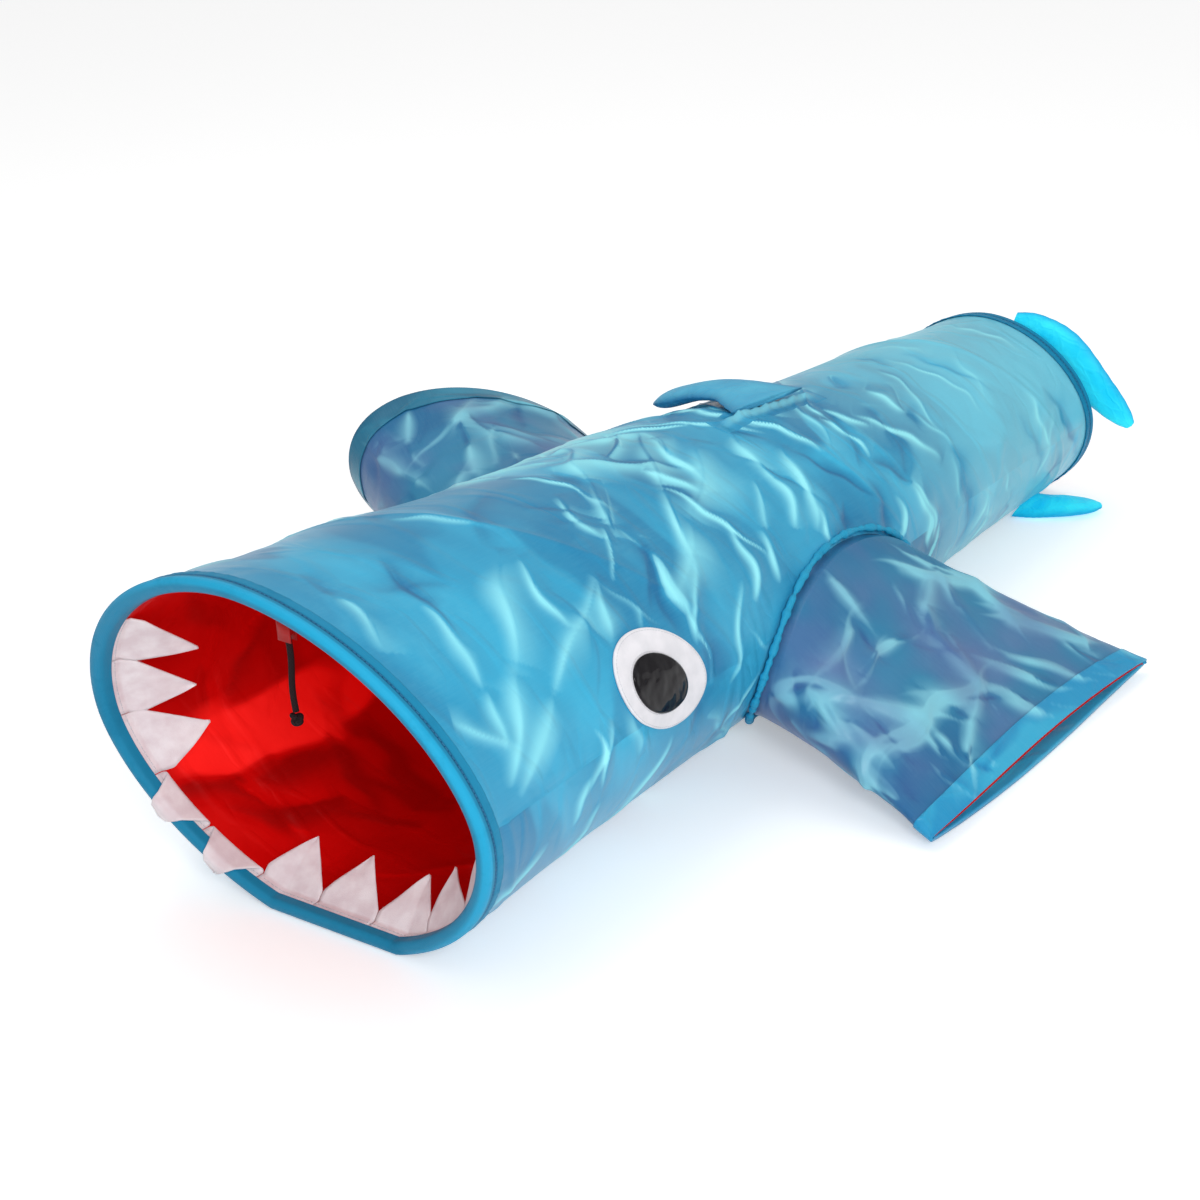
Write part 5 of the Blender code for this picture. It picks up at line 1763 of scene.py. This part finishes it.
def knot_line():
    """A closed overhand knot drawn tight."""
    turn = np.linspace(0, math.tau, KNOT_POINTS, endpoint=False)
    size = (KNOT_RADIUS - KNOT_CORD) / 3
    x = size * (np.sin(turn) + 2 * np.sin(2 * turn))
    z = size * KNOT_FLATNESS * (np.cos(turn) - 2 * np.cos(2 * turn))
    y = -size * KNOT_DEPTH * np.sin(3 * turn)
    return np.stack((CORD_X + x, CORD_Y + y, KNOT_MIDDLE + z), axis=-1)


def make_cord(finishes):
    line = cord_line()
    mesh = tube_mesh("toy_cord_line", line, CORD_RADIUS, CORD_SIDES)
    cord = add_object("toy_cord_line", mesh, finishes["cord"])
    finish_piece(cord, "toy_cord", "toy_cord")
    mesh = tube_mesh("toy_cord_end_knot", knot_line(), KNOT_CORD, KNOT_SIDES, closed=True)
    knot = add_object("toy_cord_end_knot", mesh, finishes["cord"])
    finish_piece(knot, "toy_cord", "toy_cord_knot")
    make_cord_tab(finishes["lining"])


def make_cord_tab(finish):
    """A folded tape inside the mouth binding, with the cord's end between its two layers."""
    inner = CORD_RADIUS + TAB_GAP
    outer = inner + TAB_CLOTH
    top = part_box("cord_tab")[1].z
    turns = np.linspace(0, math.pi, TAB_TURNS)
    bend = [(inner * math.cos(a), TAB_BEND + TAB_BEND_TALL * math.sin(a)) for a in turns]
    outline = np.array([
        (-outer, TAB_LOW), (-outer, top), (outer, top), (outer, TAB_LOW), (inner, TAB_LOW),
        *bend, (-inner, TAB_LOW), (-outer, TAB_LOW),
    ])

    def place(across, up):
        index = np.rint(across * (len(outline) - 1)).astype(int)
        x = CORD_X + (up - 0.5) * TAB_WIDTH
        y, z = CORD_Y + outline[index, 0], outline[index, 1]
        slope = (z - TAB_LOW) / (top - TAB_LOW) * (x - CORD_X) * TAB_SLOPE
        metres = np.stack((across * TAB_UV, up * TAB_WIDTH), axis=-1)
        return np.stack((x, y, z + slope), axis=-1), metres, np.zeros_like(x)

    mesh = sewn(sheet_of_squares("cord_holding_tab", (len(outline) - 1, 10), place), cap=True)
    piece = add_object("cord_holding_tab", mesh, finish)
    finish_piece(piece, "root", "cord_tab")


def dress_kept_nodes(finish):
    """Hoops and ferrules keep their solids and get their finish."""
    for node in ("mouth_hoop", "mouth_hoop_ferrule", "tail_hoop", "tail_hoop_ferrule"):
        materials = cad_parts[node].data.materials
        materials.clear()
        materials.append(finish)


# Camera, light and floor.
def make_camera():
    azimuth, elevation, roll = CAMERA_AZIMUTH, CAMERA_ELEVATION, CAMERA_ROLL
    level = math.cos(elevation)
    back = Vector((math.sin(azimuth) * level, -math.cos(azimuth) * level, math.sin(elevation)))
    right = Vector((math.cos(azimuth), math.sin(azimuth), 0.0))
    up = back.cross(right)
    turned_right = right * math.cos(roll) + up * math.sin(roll)
    turned_up = up * math.cos(roll) - right * math.sin(roll)
    data = bpy.data.cameras.new("photograph_camera")
    data.lens = CAMERA_LENS
    data.sensor_width = SENSOR_WIDTH
    camera = bpy.data.objects.new("photograph_camera", data)
    place = Matrix((turned_right, turned_up, back)).transposed().to_4x4()
    place.translation = CAMERA_TARGET + back * CAMERA_DISTANCE
    camera.matrix_world = place
    bpy.context.scene.collection.objects.link(camera)
    bpy.context.scene.camera = camera


def add_area_light(name, place, size, power):
    data = bpy.data.lights.new(name, "AREA")
    data.size = size
    data.energy = power
    lamp = bpy.data.objects.new(name, data)
    lamp.location = place
    lamp.rotation_euler = (Vector(LIGHT_TARGET) - Vector(place)).to_track_quat("-Z", "Y").to_euler()
    bpy.context.scene.collection.objects.link(lamp)


def make_floor():
    """A pale floor, which glows a little only where the camera sees it, so that it stays white."""
    finish, tree, shader, _ = new_material("pale_floor", 0.9)
    path = add_node(tree, "LightPath", {})
    seen = math_node(tree, "MAXIMUM", path["Is Camera Ray"], path["Is Glossy Ray"])
    seen = math_node(tree, "MAXIMUM", seen, path["Is Transmission Ray"])
    fill(tree, shader, {
        "Base Color": (0.93, 0.93, 0.93, 1.0),
        "Specular IOR Level": 0.1,
        "Emission Color": WHITE,
        "Emission Strength": math_node(tree, "MULTIPLY", seen, FLOOR_GLOW),
    })
    floor = add_object("pale_floor", grid_mesh("pale_floor", FLOOR_SQUARES, FLOOR_SIZE), finish)
    floor.data.transform(Matrix.Translation((0, 0, -FLOOR_DROP)))


def make_studio():
    world = bpy.data.worlds.new("studio")
    world.use_nodes = True
    tree = world.node_tree
    seen = add_node(tree, "LightPath", {})["Is Camera Ray"]
    strength = ranged(tree, seen, 0.0, 1.0, WORLD_LIGHT, 1.0)
    fill(tree, tree.nodes["Background"], {"Strength": strength, "Color": WHITE})
    bpy.context.scene.world = world
    for light in LIGHTS:
        add_area_light(*light)
    make_floor()
    bpy.context.scene.view_settings.view_transform = "Standard"


finishes = make_materials()
make_camera()
make_cord(finishes)
make_studio()
dress_kept_nodes(finishes["steel"])
make_wall(finishes)
make_coil(finishes["steel"])
make_binding("mouth_binding_cover", -1, "root", finishes)
make_binding("tail_binding_cover", 1, "tail", finishes)
make_teeth(finishes)
make_sleeve(1, "right", NEAR_SLEEVE_CREASES, NEAR_SEED, finishes)
make_sleeve(-1, "left", FAR_SLEEVE_CREASES, FAR_SEED, finishes)
make_fins(finishes)
make_eyes(finishes)
